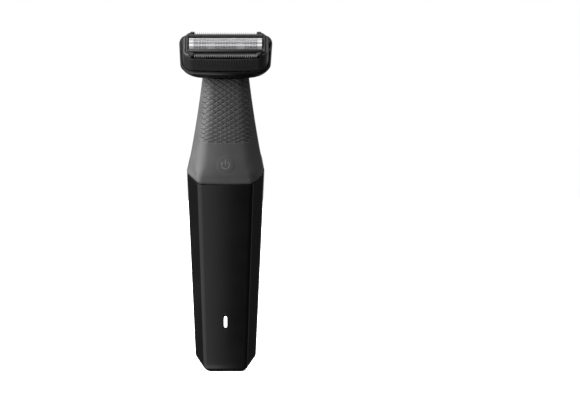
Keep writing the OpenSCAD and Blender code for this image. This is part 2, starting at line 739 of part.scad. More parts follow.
module cutter_blades() color(STEEL) at_head() {
    for (i = [0 : blade_count - 1])
        translate([(i - (blade_count - 1) / 2) * 1.6 - 0.15, 0, 0]) intersection() {
            translate([0, 0, foil_axis_z]) rotate([0, 90, 0]) difference() {
                cylinder(r = blade_r, h = 0.3, $fn = 48);
                translate([0, 0, -1]) cylinder(r = blade_r - 2.2, h = 3, $fn = 48);
            }
            translate([-1, -8, foil_axis_z + 1.6]) cube([3, 16, 10]);
        }
    // Rails that tie the blades together, and the pads that the springs push on
    translate([-19.6, -4.6, foil_axis_z + 1.5]) cube([39.2, 1, 0.8]);
    translate([-19.6, 3.6, foil_axis_z + 1.5]) cube([39.2, 1, 0.8]);
    mirror_x() translate([7, -4.6, foil_axis_z + 1.3]) cube([4, 9.2, 0.6]);
}

module blade_springs() color(STEEL) at_head() mirror_x() translate([9, 0, carrier_low + 3.25])
    coil(1.5, 0.2, 2.6, 3);

// ---------------------------------------------------------------- assembly

front_shell();
back_shell();
grip_sleeve();
power_button();
switch_plunger();
light_guide();
charging_socket();
socket_pins();
socket_seal();
chassis();
battery_cell();
battery_tabs();
circuit_board();
board_parts();
power_switch();
indicator_led();
board_screws();
case_screws();
lead_wires();
motor_can();
motor_end_cap();
motor_magnets();
motor_bearing();
motor_brushes();
motor_screws();
motor_shaft();
motor_rotor();
drive_eccentric();
eccentric_pin();
drive_lever();
pivot_pin();
neck_collar();
collar_seal();
collar_screws();
drive_seal();
head_bowl();
latch_springs();
float_springs();
cassette_frame();
skin_bars();
foil();
foil_clamps();
trimmer_guards();
cutter_carrier();
cutter_blades();
blade_springs();
trimmer_blades();
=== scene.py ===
"""Looks of a cordless body groomer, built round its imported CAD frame.

Shapes are worked out in millimetres in the frame's own axes (+Z up, front towards -Y) and
written to Blender in metres. The shaving head is shaped in its own tilted frame: x along
the foil, y to the back and up, z out of its face.
"""

import json
import math

import bmesh
import bpy
import numpy as np
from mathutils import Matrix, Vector


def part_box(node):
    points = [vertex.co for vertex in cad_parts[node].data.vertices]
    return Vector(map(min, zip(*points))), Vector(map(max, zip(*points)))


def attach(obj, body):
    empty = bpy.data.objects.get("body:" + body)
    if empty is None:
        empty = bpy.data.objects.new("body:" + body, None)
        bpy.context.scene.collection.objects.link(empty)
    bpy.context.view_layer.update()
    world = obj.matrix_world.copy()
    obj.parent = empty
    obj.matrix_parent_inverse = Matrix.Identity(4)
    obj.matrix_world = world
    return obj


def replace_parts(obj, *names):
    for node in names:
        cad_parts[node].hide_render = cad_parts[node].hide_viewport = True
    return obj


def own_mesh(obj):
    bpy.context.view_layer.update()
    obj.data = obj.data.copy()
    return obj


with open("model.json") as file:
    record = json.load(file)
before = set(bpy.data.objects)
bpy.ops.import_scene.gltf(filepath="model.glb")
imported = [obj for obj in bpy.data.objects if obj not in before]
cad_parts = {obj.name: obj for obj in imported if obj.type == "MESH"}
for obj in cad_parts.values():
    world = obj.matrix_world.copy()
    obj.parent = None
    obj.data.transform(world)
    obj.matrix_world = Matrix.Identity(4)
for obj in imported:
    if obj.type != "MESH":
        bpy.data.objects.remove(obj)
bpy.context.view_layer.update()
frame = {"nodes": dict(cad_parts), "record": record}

MM = 0.001


# ---------------- sizes in millimetres


def box_mm(node):
    low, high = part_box(node)
    return np.array(low) / MM, np.array(high) / MM


SHELL_LOW, SHELL_HIGH = box_mm("front_shell")
BUTTON_LOW, BUTTON_HIGH = box_mm("power_button")
FOIL_LOW, FOIL_HIGH = box_mm("foil")

SHOULDER_Z = 119.0
SHOULDER_HALF = SHELL_HIGH[0]
FRONT_CREASE_Z = 117.0
NECK_HALF = 14.0
NECK_TOP_Z = 175.5
FRONT_SHOULDER = -18.0
FRONT_NECK = -8.4
BACK_SHOULDER = 17.5
BACK_NECK = 7.4
BACK_NECK_Z = 186.5
KNEE_Z = 9.7
KNEE_HALF = 18.1
FRONT_KNEE = -13.6
SECTION_HALF = 23.15
WALL = 1.8
FLOOR_TOP = 2.2
SOCKET_OPENING = (7.2, 4.9, 3.1)
SEAM_Z = 112.0
SEAM_SLOPE = math.tan(math.radians(35.4))

HEAD_TILT = math.radians(35.0)
HEAD_ORIGIN = np.array([0.0, -0.5, 181.0])
HEAD_BACK = np.array([0.0, math.cos(HEAD_TILT), math.sin(HEAD_TILT)])
HEAD_OUT = np.array([0.0, -math.sin(HEAD_TILT), math.cos(HEAD_TILT)])
HEAD_SLOPE = math.tan(HEAD_TILT)

BUTTON_Z = 123.6
BUTTON_FLANGE = 1.0
BUTTON_GAP = 0.045
BUTTON_RADIUS = 0.5 * (BUTTON_HIGH[0] - BUTTON_LOW[0]) - BUTTON_FLANGE
LED_Z = 29.8


def head_points(local):
    """Points of the head's own frame, in the row frame."""
    local = np.asarray(local, float)
    across = np.array([1.0, 0.0, 0.0])
    return HEAD_ORIGIN + local[..., :1] * across + local[..., 1:2] * HEAD_BACK + local[..., 2:] * HEAD_OUT


# ---------------- mesh helpers


def put_in_scene(thing):
    bpy.context.scene.collection.objects.link(thing)
    return thing


def tidy_normals(mesh, merge=False):
    """Turns a mesh's faces outwards, once points that coincide are merged if asked."""
    work = bmesh.new()
    work.from_mesh(mesh)
    if merge:
        bmesh.ops.remove_doubles(work, verts=work.verts, dist=1e-6)
    bmesh.ops.recalc_face_normals(work, faces=work.faces)
    work.to_mesh(mesh)
    work.free()


def finish_mesh(name, verts, faces, body, slot, material=None, sharp=None):
    """A piece from points in millimetres; it rides on a body and takes its slot's material."""
    mesh = bpy.data.meshes.new(name)
    mesh.from_pydata((np.asarray(verts, float) * MM).tolist(), [], faces)
    mesh.materials.append(material or SLOT_MATERIALS[slot])
    mesh.update()
    tidy_normals(mesh, merge=True)
    for polygon in mesh.polygons:
        polygon.use_smooth = sharp != 0
    piece = put_in_scene(bpy.data.objects.new(name, mesh))
    if sharp:
        shade_by_angle(piece, sharp)
    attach(piece, body)
    return piece


def grid_faces(rows, columns, wrap_rows=False, wrap_columns=False):
    """Four-cornered faces between a grid of points counted row by row."""
    faces = []
    for i in range(rows if wrap_rows else rows - 1):
        for j in range(columns if wrap_columns else columns - 1):
            i2, j2 = (i + 1) % rows, (j + 1) % columns
            faces.append((i * columns + j, i * columns + j2, i2 * columns + j2, i2 * columns + j))
    return faces


def join(parts):
    """One list of points and faces from several."""
    verts, faces, start = [], [], 0
    for part_verts, part_faces in parts:
        part_verts = np.asarray(part_verts, float).reshape(-1, 3)
        verts.append(part_verts)
        faces += [tuple(start + i for i in face) for face in part_faces]
        start += len(part_verts)
    return np.concatenate(verts), faces


def closed_tube(rings):
    """Points and faces of a tube through rings of equal length, with flat ends."""
    rings = np.asarray(rings, float)
    rows, columns = rings.shape[:2]
    faces = grid_faces(rows, columns, wrap_columns=True)
    faces.append(tuple(range(columns - 1, -1, -1)))
    faces.append(tuple((rows - 1) * columns + k for k in range(columns)))
    return rings.reshape(-1, 3), faces


def shade_by_angle(piece, degrees):
    """Smooth shading with sharp edges where faces turn more than an angle."""
    mesh = piece.data
    work = bmesh.new()
    work.from_mesh(mesh)
    limit = math.radians(degrees)
    for edge in work.edges:
        edge.smooth = not (len(edge.link_faces) == 2 and edge.calc_face_angle(0) > limit)
    work.to_mesh(mesh)
    work.free()


def smooth_min(a, b, radius):
    """The smaller of two values, with the corner between them rounded."""
    h = np.clip(0.5 + 0.5 * (b - a) / radius, 0, 1)
    return b + (a - b) * h - radius * h * (1 - h)


def softened(curve, z, radius):
    """A curve with its kinks rounded over a radius."""
    offsets = np.linspace(-1, 1, 7)
    return sum(curve(z + radius * d) for d in offsets) / len(offsets)


# ---------------- handle form


def neck_flare(share):
    """How much of the shoulder's extra size is left at a share of the way up the neck."""
    return 0.73 * (1 - share) + 0.27 * (1 - share) ** 2


def half_width_sharp(z):
    taper = (SHOULDER_HALF - KNEE_HALF) / (SHOULDER_Z - KNEE_Z)
    low = SHOULDER_HALF + taper * (z - SHOULDER_Z)
    share = (z - SHOULDER_Z) / (NECK_TOP_Z - SHOULDER_Z)
    high = NECK_HALF + (SHOULDER_HALF - NECK_HALF) * neck_flare(share)
    return np.where(z < SHOULDER_Z, low, high)


def front_sharp(z):
    low = np.interp(z, [0, 0.5, 1.6, 4.0, KNEE_Z], [-9.8, -11.4, -12.7, -13.3, FRONT_KNEE])
    taper = (FRONT_SHOULDER - FRONT_KNEE) / (SHOULDER_Z - KNEE_Z)
    low = np.where(z < KNEE_Z, low, FRONT_KNEE + taper * (z - KNEE_Z))
    share = (z - FRONT_CREASE_Z) / (NECK_TOP_Z - FRONT_CREASE_Z)
    crease = FRONT_KNEE + taper * (FRONT_CREASE_Z - KNEE_Z)
    high = FRONT_NECK + (crease - FRONT_NECK) * neck_flare(share)
    return np.where(z < FRONT_CREASE_Z, low, high)


def back_sharp(z):
    low = np.interp(
        z,
        [0, 0.5, 1.6, 4.0, KNEE_Z, 27, 45, 64, 82, 100, SHOULDER_Z],
        [9.8, 11.2, 12.4, 13.0, 13.4, 14.8, 15.9, 16.7, 17.2, 17.45, BACK_SHOULDER],
    )
    share = (z - SHOULDER_Z) / (BACK_NECK_Z - SHOULDER_Z)
    high = BACK_NECK + (BACK_SHOULDER - BACK_NECK) * neck_flare(share)
    return np.where(z < SHOULDER_Z, low, high)


def half_width(z):
    return softened(half_width_sharp, z, 0.9)


def front_face(z):
    return softened(front_sharp, z, np.where(z < 8, 0.25, 0.9))


def back_face(z):
    return softened(back_sharp, z, np.where(z < 8, 0.25, 3.0))


def base_cut(z):
    """Half width that the base's slanted corners leave at height z."""
    heights = [0, 0.4, 1.0, 2.2, KNEE_Z, 14, 22]
    return np.interp(z, heights, [9.4, 10.6, 11.6, 12.9, KNEE_HALF + 0.15, 21.5, 30])


BACK_CROWN = 0.7


def front_crown(z):
    """How far the front bows out in the middle: little on the shells, more on the neck."""
    return softened(lambda h: np.interp(h, [112, 124], [0.8, 2.4]), z, 2.0)


def front_rounding(z):
    """Length cut off each side of the front's long edges: crisp on the shells, soft on the neck."""
    return softened(lambda h: np.interp(h, [113, 124], [1.7, 5.0]), z, 2.0)


def corner_points(z, inset):
    """The section's corners, counted round from the middle of the front: (x, y, rounding) each."""
    w = half_width(z) - inset
    f = front_face(z) + inset
    b = back_face(z) - inset
    flat, bevel, scale = 0.7 * w, 0.39 * w, w / SECTION_HALF
    cut = front_rounding(z) * scale
    right = [
        (flat, f, cut),
        (w, f + bevel, 1.4 * scale),
        (w, b - 0.5 * w, 3.4 * scale),
        (0.82 * w, b - 0.17 * w, 4.4 * scale),
        (0.42 * w, b - 0.2 * scale, 2.6 * scale),
    ]
    left = [(-x, y, r) for x, y, r in reversed(right)]
    front_middle = (0 * w, f - front_crown(z) * scale, 0.97 * (flat - cut))
    back_middle = (0 * w, b + BACK_CROWN * scale, 0.42 * w - 2.7 * scale)
    return [front_middle] + right + [back_middle] + left


def open_run(points, side):
    """The corners in front of or behind the parting plane, ended on it."""
    w = points[2][0]
    zero = 0 * w
    on_right, on_left = (w, zero + 0.05 * side, zero), (-w, zero + 0.05 * side, zero)
    if side < 0:
        return [on_left] + points[10:] + points[:3] + [on_right]
    return [on_right] + points[3:10] + [on_left]


def corner_arc(before, corner, after, share):
    """A point on the arc that rounds a corner."""
    (ax, ay), (bx, by, cut), (cx, cy) = before[:2], corner, after[:2]
    la, lc = np.hypot(ax - bx, ay - by), np.hypot(cx - bx, cy - by)
    ux, uy, vx, vy = (ax - bx) / la, (ay - by) / la, (cx - bx) / lc, (cy - by) / lc
    half = 0.5 * np.arccos(np.clip(ux * vx + uy * vy, -1, 1))
    radius = cut * np.tan(half)
    mx, my = ux + vx, uy + vy
    reach = radius / np.sin(half) / np.hypot(mx, my)
    ox, oy = bx + mx * reach, by + my * reach
    start = np.arctan2(by + uy * cut - oy, bx + ux * cut - ox)
    angle = start + (math.pi - 2 * half) * share
    return ox + radius * np.cos(angle), oy + radius * np.sin(angle)


def column_specs(count, closed, arc_steps, edge_steps):
    """How each column of points runs over the section: on which arc or edge, and how far along."""
    specs = []
    for k in range(count):
        if closed or 0 < k < count - 1:
            specs += [("arc", k, i / arc_steps[k]) for i in range(arc_steps[k])]
        if closed or k < count - 1:
            specs += [("edge", k, i / edge_steps[k]) for i in range(edge_steps[k])]
    if not closed:
        specs.append(("edge", count - 2, 1.0))
    return specs


def column_point(spec, z, inset, side=0):
    """Where a column of points passes height z, a distance inside the outer skin."""
    kind, k, share = spec
    corners = corner_points(z, inset)
    if side:
        corners = open_run(corners, side)
    n = len(corners)
    if kind == "arc":
        x, y = corner_arc(corners[k - 1], corners[k], corners[(k + 1) % n], share)
    else:
        (ax, ay, acut), (bx, by, bcut) = corners[k], corners[(k + 1) % n]
        length = np.hypot(bx - ax, by - ay)
        t = (acut + (length - acut - bcut) * share) / length
        x, y = ax + (bx - ax) * t, ay + (by - ay) * t
    limit = base_cut(z) - 1.3 * inset
    return np.sign(x) * smooth_min(np.abs(x), limit, 0.5), y


def height_on_plane(spec, plane, inset, side, start):
    """Where a column meets a tilted plane z = plane(y)."""
    z = np.array([start], float)
    for _ in range(14):
        z = plane(column_point(spec, z, inset, side)[1])
    return float(z[0])


def seam_height(y):
    return SEAM_Z + SEAM_SLOPE * (y - float(front_face(np.array([SEAM_Z]))[0]))


def parting_height(y):
    return HEAD_ORIGIN[2] + HEAD_SLOPE * (y - HEAD_ORIGIN[1])


def skin(specs, heights, insets, side=0):
    """Points of a skin: heights is rows by columns, insets one value per row."""
    points = np.zeros(heights.shape + (3,))
    inset_rows = np.asarray(insets, float)
    for j, spec in enumerate(specs):
        x, y = column_point(spec, heights[:, j], inset_rows, side)
        points[:, j, 0], points[:, j, 1], points[:, j, 2] = x, y, heights[:, j]
    return points


# ---------------- materials


NOISE_MIDDLE = (0.3, 0.7)
EDGE_POINTINESS = (0.52, 0.6)
GRAIN_DEPTH = 0.02


def node_material(name):
    material = bpy.data.materials.new(name)
    material.use_nodes = True
    nodes = material.node_tree.nodes
    return material, nodes, material.node_tree.links, nodes["Principled BSDF"]


def set_inputs(node, values):
    for socket, value in values.items():
        node.inputs[socket].default_value = value


def noise(nodes, links, scale, detail, stretch=None):
    source = nodes.new("ShaderNodeTexCoord")
    texture = nodes.new("ShaderNodeTexNoise")
    set_inputs(texture, {"Scale": scale, "Detail": detail})
    if stretch:
        mapping = nodes.new("ShaderNodeMapping")
        set_inputs(mapping, {"Scale": stretch})
        links.new(source.outputs["Object"], mapping.inputs["Vector"])
        links.new(mapping.outputs["Vector"], texture.inputs["Vector"])
    else:
        links.new(source.outputs["Object"], texture.inputs["Vector"])
    return texture.outputs["Fac"]


def ranged(nodes, links, value, source, target=(0, 1)):
    """A value stretched from one range to another."""
    mapped = nodes.new("ShaderNodeMapRange")
    set_inputs(mapped, dict(zip(("From Min", "From Max", "To Min", "To Max"), (*source, *target))))
    links.new(value, mapped.inputs["Value"])
    return mapped.outputs["Result"]


def mixed_color(nodes, links, factor, first, second):
    """A blend from the first colour or socket to the second colour."""
    mix = nodes.new("ShaderNodeMix")
    mix.data_type = "RGBA"
    if isinstance(first, tuple):
        mix.inputs["A"].default_value = (*first, 1)
    else:
        links.new(first, mix.inputs["A"])
    mix.inputs["B"].default_value = (*second, 1)
    links.new(factor, mix.inputs["Factor"])
    return mix.outputs["Result"]


def edge_factor(nodes, links):
    """Near 1 on worn convex edges, 0 elsewhere."""
    geometry = nodes.new("ShaderNodeNewGeometry")
    return ranged(nodes, links, geometry.outputs["Pointiness"], EDGE_POINTINESS)


def bump(nodes, links, bsdf, height, strength):
    node = nodes.new("ShaderNodeBump")
    set_inputs(node, {"Strength": strength, "Distance": GRAIN_DEPTH * MM})
    links.new(height, node.inputs["Height"])
    links.new(node.outputs["Normal"], bsdf.inputs["Normal"])


def varied(name, color, rough, spread, metal, tint, grain, depth, stretch=None, wear=0.25, large=60):
    """Colour and roughness that vary a little, a fine grain, and slightly rubbed edges."""
    material, nodes, links, bsdf = node_material(name)
    fine = noise(nodes, links, grain, 4.0, stretch)
    broad = noise(nodes, links, large, 2.0, stretch)
    light = tuple(min(c * (1 + tint) + 0.002, 1) for c in color)
    dark = tuple(c * (1 - tint) for c in color)
    body = mixed_color(nodes, links, broad, dark, light)
    worn = tuple(min(c * (1 + wear) + 0.01 * wear, 1) for c in color)
    links.new(mixed_color(nodes, links, edge_factor(nodes, links), body, worn), bsdf.inputs["Base Color"])
    roughness = ranged(nodes, links, broad, NOISE_MIDDLE, (rough - spread, rough + spread))
    links.new(roughness, bsdf.inputs["Roughness"])
    set_inputs(bsdf, {"Metallic": metal, "IOR": 1.45})
    bump(nodes, links, bsdf, fine, depth)
    return material


def glowing(name, color, strength):
    material, nodes, links, bsdf = node_material(name)
    set_inputs(bsdf, {"Base Color": (*color, 1), "Roughness": 0.3, "Emission Color": (*color, 1)})
    cloud = noise(nodes, links, 400, 2.0)
    cloud = ranged(nodes, links, cloud, NOISE_MIDDLE, (strength * 0.85, strength))
    links.new(cloud, bsdf.inputs["Emission Strength"])
    return material


# Each slot's colour, roughness and its spread, metal, tint, grain, depth of grain, and other settings.
SLOT_LOOKS = {
    "gloss_shell": ((0.0025, 0.0025, 0.0027), 0.12, 0.03, 0, 0.2, 1500, 0.03, dict(wear=0.5, large=40)),
    "soft_touch": ((0.03, 0.03, 0.031), 0.5, 0.05, 0, 0.12, 2600, 0.35, dict(wear=0.4, large=90)),
    "matte_head": ((0.009, 0.009, 0.0095), 0.42, 0.05, 0, 0.15, 2200, 0.3, dict(wear=0.5, large=80)),
    "black_plastic": ((0.02, 0.02, 0.021), 0.45, 0.06, 0, 0.12, 1500, 0.2, {}),
    "inner_plastic": ((0.72, 0.71, 0.66), 0.4, 0.06, 0, 0.06, 1200, 0.12, {}),
    "seal_rubber": ((0.022, 0.022, 0.023), 0.62, 0.06, 0, 0.12, 2000, 0.3, {}),
    "foil_steel": ((0.8, 0.8, 0.81), 0.19, 0.02, 1, 0.03, 700, 0.008, dict(stretch=(1, 12, 12), wear=0.1)),
    "steel": ((0.56, 0.56, 0.58), 0.3, 0.06, 1, 0.08, 900, 0.15, dict(stretch=(1, 1, 10), wear=0.2)),
    "spring_steel": ((0.5, 0.5, 0.52), 0.33, 0.05, 1, 0.08, 1200, 0.1, {}),
    "nickel": ((0.76, 0.72, 0.66), 0.2, 0.05, 1, 0.05, 900, 0.06, {}),
    "bronze": ((0.6, 0.4, 0.17), 0.42, 0.08, 1, 0.15, 1600, 0.4, {}),
    "copper": ((0.72, 0.32, 0.16), 0.3, 0.06, 1, 0.1, 300, 0.8, dict(stretch=(1, 1, 14))),
    "magnet": ((0.09, 0.09, 0.095), 0.5, 0.08, 0, 0.2, 1400, 0.4, {}),
    "battery_wrap": ((0.02, 0.1, 0.28), 0.25, 0.04, 0, 0.1, 500, 0.1, {}),
    "board_laminate": ((0.015, 0.12, 0.05), 0.35, 0.05, 0, 0.25, 260, 0.25, dict(large=200)),
    "component_black": ((0.018, 0.018, 0.018), 0.4, 0.06, 0, 0.12, 1800, 0.2, {}),
    "wire_red": ((0.42, 0.02, 0.015), 0.4, 0.05, 0, 0.1, 900, 0.1, {}),
    "led_white": ((0.85, 0.84, 0.72), 0.3, 0.05, 0, 0.04, 900, 0.05, {}),
}
SLOT_MATERIALS = {slot: varied(slot, *look[:-1], **look[-1]) for slot, look in SLOT_LOOKS.items()}
SLOT_MATERIALS["light_guide"] = glowing("light_guide", (1.0, 1.0, 1.0), 2.6)
# Darker steel for both combs: partly the combs' own steel, partly painted shade, so the blades seen between
# the guard teeth read as shadowed gaps.
TEETH_STEEL_PAINTED_SHADE = varied("trimmer_steel_painted_shade", (0.36, 0.36, 0.37), 0.32, 0.05, 1, 0.06, 900, 0.08, wear=0.1)
ICON = varied("icon_grey", (0.11, 0.11, 0.113), 0.45, 0.04, 0, 0.06, 1500, 0.1)


def dress_cad_nodes():
    """Each carried-over CAD node takes its slot's material, with its slightly rubbed edges."""
    slots = {row["node"]: row["material_slot"] for row in frame["record"]["subparts"]}
    for name, node in frame["nodes"].items():
        node.data.materials.clear()
        node.data.materials.append(SLOT_MATERIALS[slots[name]])
        for polygon in node.data.polygons:
            polygon.material_index = 0


# ---------------- handle pieces


def symmetric_steps(middle, right):
    """Step counts for the twelve corners, from those of the right half."""
    return [middle[0]] + right + [middle[1]] + right[::-1]


def half_steps(side):
    """Arc and edge steps for the open run of corners of one shell."""
    if side < 0:
        return [0, 8, 8, 40, 8, 8, 0], [8, 8, 1, 1, 8, 8, 0]
    return [0] + [8] * 7 + [0], [8] + [3] * 6 + [8, 0]


def opening_ring(points, z, half_x, half_y, radius):
    """The rounded socket opening, met along the same directions as a ring of points."""
    angle = np.arctan2(points[:, 1], points[:, 0])
    c, s = np.cos(angle), np.sin(angle)
    reach = np.minimum(half_x / np.maximum(np.abs(c), 1e-6), half_y / np.maximum(np.abs(s), 1e-6))
    x, y = reach * c, reach * s
    inner_x, inner_y = half_x - radius, half_y - radius
    over = (np.abs(x) > inner_x) & (np.abs(y) > inner_y)
    dx, dy = np.abs(x) - inner_x, np.abs(y) - inner_y
    length = np.maximum(np.hypot(dx, dy), 1e-6)
    x = np.where(over, np.sign(x) * (inner_x + dx / length * radius), x)
    y = np.where(over, np.sign(y) * (inner_y + dy / length * radius), y)
    return np.stack([x, y, np.full_like(x, z)], axis=-1)


def shell_levels():
    base = [0, 0.15, 0.4, 0.8, 1.3, 2.0, 3.0, 4.5, 6.0, 7.5, 8.6, 9.2, 9.7, 10.2, 10.8, 12, 14]
    return np.array(base + list(np.linspace(17, 117, 51)))


TONGUE_SECTION = [(1.6, -1.5), (1.6, -0.14), (1.87, -0.1), (1.87, 1.3), (2.6, 1.3), (2.6, -1.5)]
TONGUE_LOW, TONGUE_HIGH = 3.2, 119.5


def shell_tongue(direction):
    """The front shell's tongue behind the joint at one side, running up the inside of the wall."""
    levels = np.concatenate([np.linspace(TONGUE_LOW, 24, 12), np.linspace(30, TONGUE_HIGH, 16)])
    rings = []
    for z in levels:
        half, limit = float(half_width(z)), float(base_cut(z))
        ring = [(direction * min(half - inset, limit - 1.3 * inset), y, z) for inset, y in TONGUE_SECTION]
        rings.append(ring)
    return closed_tube(rings)


def add_tongues(front):
    """Joins a tongue to each side of the front shell, once its opening is cut."""
    work = bmesh.new()
    work.from_mesh(front.data)
    for direction in (1, -1):
        points, faces = shell_tongue(direction)
        corners = [work.verts.new(point * MM) for point in points]
        added = [work.faces.new([corners[i] for i in face]) for face in faces]
        bmesh.ops.recalc_face_normals(work, faces=added)
    work.to_mesh(front.data)
    work.free()


def shell(name, side):
    """The front or back glossy shell: outside, rounded rims, inside and socket opening."""
    arcs, edges = half_steps(side)
    corners = len(open_run(corner_points(np.array([50.0]), 0.0), side))
    specs = column_specs(corners, False, arcs, edges)
    tops = np.array([height_on_plane(s, seam_height, 0.0, side, SEAM_Z) for s in specs])
    levels = shell_levels()
    split, last = 100.0, levels[-1]
    share = np.clip((levels - split) / (last - split), 0, 1)[:, None]
    stretched = split + share * (tops[None, :] - 0.15 - split)
    heights = np.where(levels[:, None] <= split, levels[:, None], stretched)
    outside = skin(specs, heights, np.zeros(len(levels)), side)
    rim = skin(specs, np.stack([tops - 0.07, tops - 0.05]), [0.12, 0.4], side)
    inner_heights = FLOOR_TOP + heights * (1 - FLOOR_TOP / last)
    inside = skin(specs, inner_heights, np.full(len(levels), WALL), side)
    inner_rim = skin(specs, np.stack([tops - 0.05, tops - 0.05]), [WALL - 0.4, WALL - 0.1], side)
    opening_low = opening_ring(outside[0], 0.0, *SOCKET_OPENING)
    opening_high = opening_ring(inside[0], FLOOR_TOP, *SOCKET_OPENING)
    first = np.concatenate([opening_low[None], outside, rim])
    second = np.concatenate([opening_high[None], inside, inner_rim[::-1]])
    rows, columns = first.shape[:2]
    points = np.concatenate([first, second[::-1]]).reshape(-1, 3)
    faces = grid_faces(2 * rows, columns, wrap_rows=True)
    for row in range(rows - 1):
        partner, next_partner = 2 * rows - 1 - row, 2 * rows - 2 - row
        for column in (0, columns - 1):
            faces.append(tuple(r * columns + column for r in (row, row + 1, next_partner, partner)))
    return finish_mesh(name, points, faces, "handle", "gloss_shell", sharp=38)


TEXTURE_LOW = 136.2
TEXTURE_KNEE = 152.0
TEXTURE_CORNER = 3.4
GROOVE_DEPTH = 0.38
GROOVE_HALF = 0.17


def texture_field(x, z):
    """1 inside the textured field of the neck's front, 0 outside, with a soft border."""
    rise = np.clip((z - TEXTURE_LOW) / 40, 0, 1)
    half = half_width(z) * (0.82 + 0.11 * rise)
    floor = TEXTURE_LOW + 1.1 * (x / 16) ** 2
    dx = np.abs(x) - (half - TEXTURE_CORNER)
    dz = (floor + TEXTURE_CORNER) - z
    distance = np.hypot(np.maximum(dx, 0), np.maximum(dz, 0)) + np.minimum(np.maximum(dx, dz), 0)
    return np.clip((TEXTURE_CORNER - distance) / 0.45, 0, 1)


def texture_drop(x, z):
    """Depth of the crossed grooves between slightly domed diamonds; the diamonds flatten low down."""
    across = x / (3.1 + 0.12 * half_width(z))
    low_pitch, top_pitch = 2.0, 3.3
    span = TEXTURE_KNEE - TEXTURE_LOW
    growth = (top_pitch - low_pitch) / low_pitch
    share = np.clip((z - TEXTURE_LOW) / span, 0, 1)
    along = span / (top_pitch - low_pitch) * np.log1p(share * growth)
    along = along + np.maximum(z - TEXTURE_KNEE, 0) / top_pitch
    depth = 0
    for phase, weight in ((along + across, 1.25), (along - across, 0.75)):
        from_line = np.abs(phase - np.round(phase))
        groove = np.clip(1 - from_line / GROOVE_HALF, 0, 1)
        dome = (1 - 2 * from_line) ** 2
        depth = np.maximum(depth, weight * (groove * (2 - groove) * 0.9 + dome * 0.12))
    return GROOVE_DEPTH * depth


def grid_normals(points):
    """Outward normals of a grid of points whose columns run round the handle."""
    du = np.roll(points, -1, axis=1) - np.roll(points, 1, axis=1)
    dv = np.gradient(points, axis=0)
    normal = np.cross(du, dv)
    return normal / np.maximum(np.linalg.norm(normal, axis=2, keepdims=True), 1e-9)


SLEEVE_WALL = 2.0


def grip_sleeve():
    """The soft neck: a slanted lip, the textured front, a slanted top edge and a plain inside."""
    arcs = symmetric_steps([150, 10], [10, 5, 5, 5, 5])
    edges = [1, 26, 8, 6, 6, 4, 4, 6, 6, 8, 26, 1]
    specs = column_specs(12, True, arcs, edges)
    lows = np.array([height_on_plane(s, seam_height, 0.0, 0, SEAM_Z) for s in specs])
    highs = np.array([height_on_plane(s, parting_height, 0.0, 0, 181.0) for s in specs])
    lip = [(0.12, 1.6), (0.12, 0.6), (0.25, 0.15), (0.5, -0.12), (0.9, -0.28), (1.4, -0.34), (2.2, -0.26),
           (3.0, -0.15), (3.8, -0.05), (4.6, 0.0)]
    lip_heights = np.stack([lows + rise for rise, _ in lip])
    join_low, join_high = 146.0, 168.0
    start = lows + lip[-1][0]
    shares = np.concatenate([np.linspace(0, 0.64, 15)[1:], np.linspace(0.64, 1, 48)[1:]])
    lower = start[None] + (join_low - start[None]) * shares[:, None]
    middle = np.repeat(np.linspace(join_low, join_high, 110)[1:, None], len(specs), axis=1)
    end = highs - 0.35
    upper = join_high + (end[None] - join_high) * np.linspace(0, 1, 44)[1:, None]
    top = np.stack([highs - 0.12, highs - 0.05])
    heights = np.concatenate([lip_heights, lower, middle, upper, top])
    insets = np.concatenate([[i for _, i in lip], np.zeros(len(heights) - len(lip) - 2), [0.15, 0.5]])
    outside = skin(specs, heights, insets)
    normals = grid_normals(outside)
    x, z = outside[..., 0], outside[..., 2]
    facing = outside[..., 1] < -2
    field = texture_field(x, z) * facing
    lift = -field * (texture_drop(x, z) + 0.05)
    lift[-2:] = 0
    outside = outside + normals * lift[..., None]
    inner_heights = np.stack([lows + 0.12 + (highs - lows - 0.2) * t for t in np.linspace(0, 1, 24)])
    inside = skin(specs, inner_heights, np.full(24, SLEEVE_WALL))
    points = np.concatenate([outside, inside[::-1]])
    faces = grid_faces(points.shape[0], points.shape[1], True, True)
    return finish_mesh("grip_sleeve_soft", points.reshape(-1, 3), faces, "handle", "soft_touch")


def front_depth(x, z):
    """The front face's y at a place near its middle, with its slight crown."""
    z = np.asarray(z, float)
    w = half_width(z)
    scale = w / SECTION_HALF
    rise = front_crown(z) * scale
    flat = 0.7 * w
    theta = np.arctan(rise / flat)
    cut = 0.97 * (flat - front_rounding(z) * scale)
    radius = cut / np.tan(theta)
    middle = front_face(z) - rise + radius * (1 / np.cos(theta) - 1)
    return middle + radius - np.sqrt(radius**2 - x**2)


def front_directions(z):
    """Upward and outward directions on the front face at height z."""
    y0, y1 = front_depth(0.0, z - 2), front_depth(0.0, z + 2)
    up = np.array([0.0, float(y1 - y0), 4.0])
    up /= np.linalg.norm(up)
    return up, np.cross(np.array([1.0, 0.0, 0.0]), up)


def disc_on_front(z, rings, steps=64):
    """A round block on the front face: rings are (radius, raised) pairs along the outward normal."""
    up, out = front_directions(z)
    angle = np.linspace(0, 2 * math.pi, steps, endpoint=False)
    layers = []
    for radius, raised in rings:
        x, height = radius * np.cos(angle), z + radius * np.sin(angle) * up[2]
        layers.append(np.stack([x, front_depth(x, height), height], axis=-1) + out * raised)
    return closed_tube(layers)


def power_button():
    """The button's cap, with the flange that keeps it in the sleeve."""
    radius, flange = BUTTON_RADIUS, BUTTON_RADIUS + BUTTON_FLANGE
    rings = [(flange, -4.2), (flange, -3.5), (radius, -3.5), (radius, -0.25), (radius, -0.02),
             (radius - 0.01, -0.005), (radius - 0.04, 0.0), (radius * 0.7, 0), (radius * 0.4, 0), (0.05, 0)]
    points, faces = disc_on_front(BUTTON_Z, rings)
    return finish_mesh("power_button_cap", points, faces, "button", "soft_touch", sharp=50)


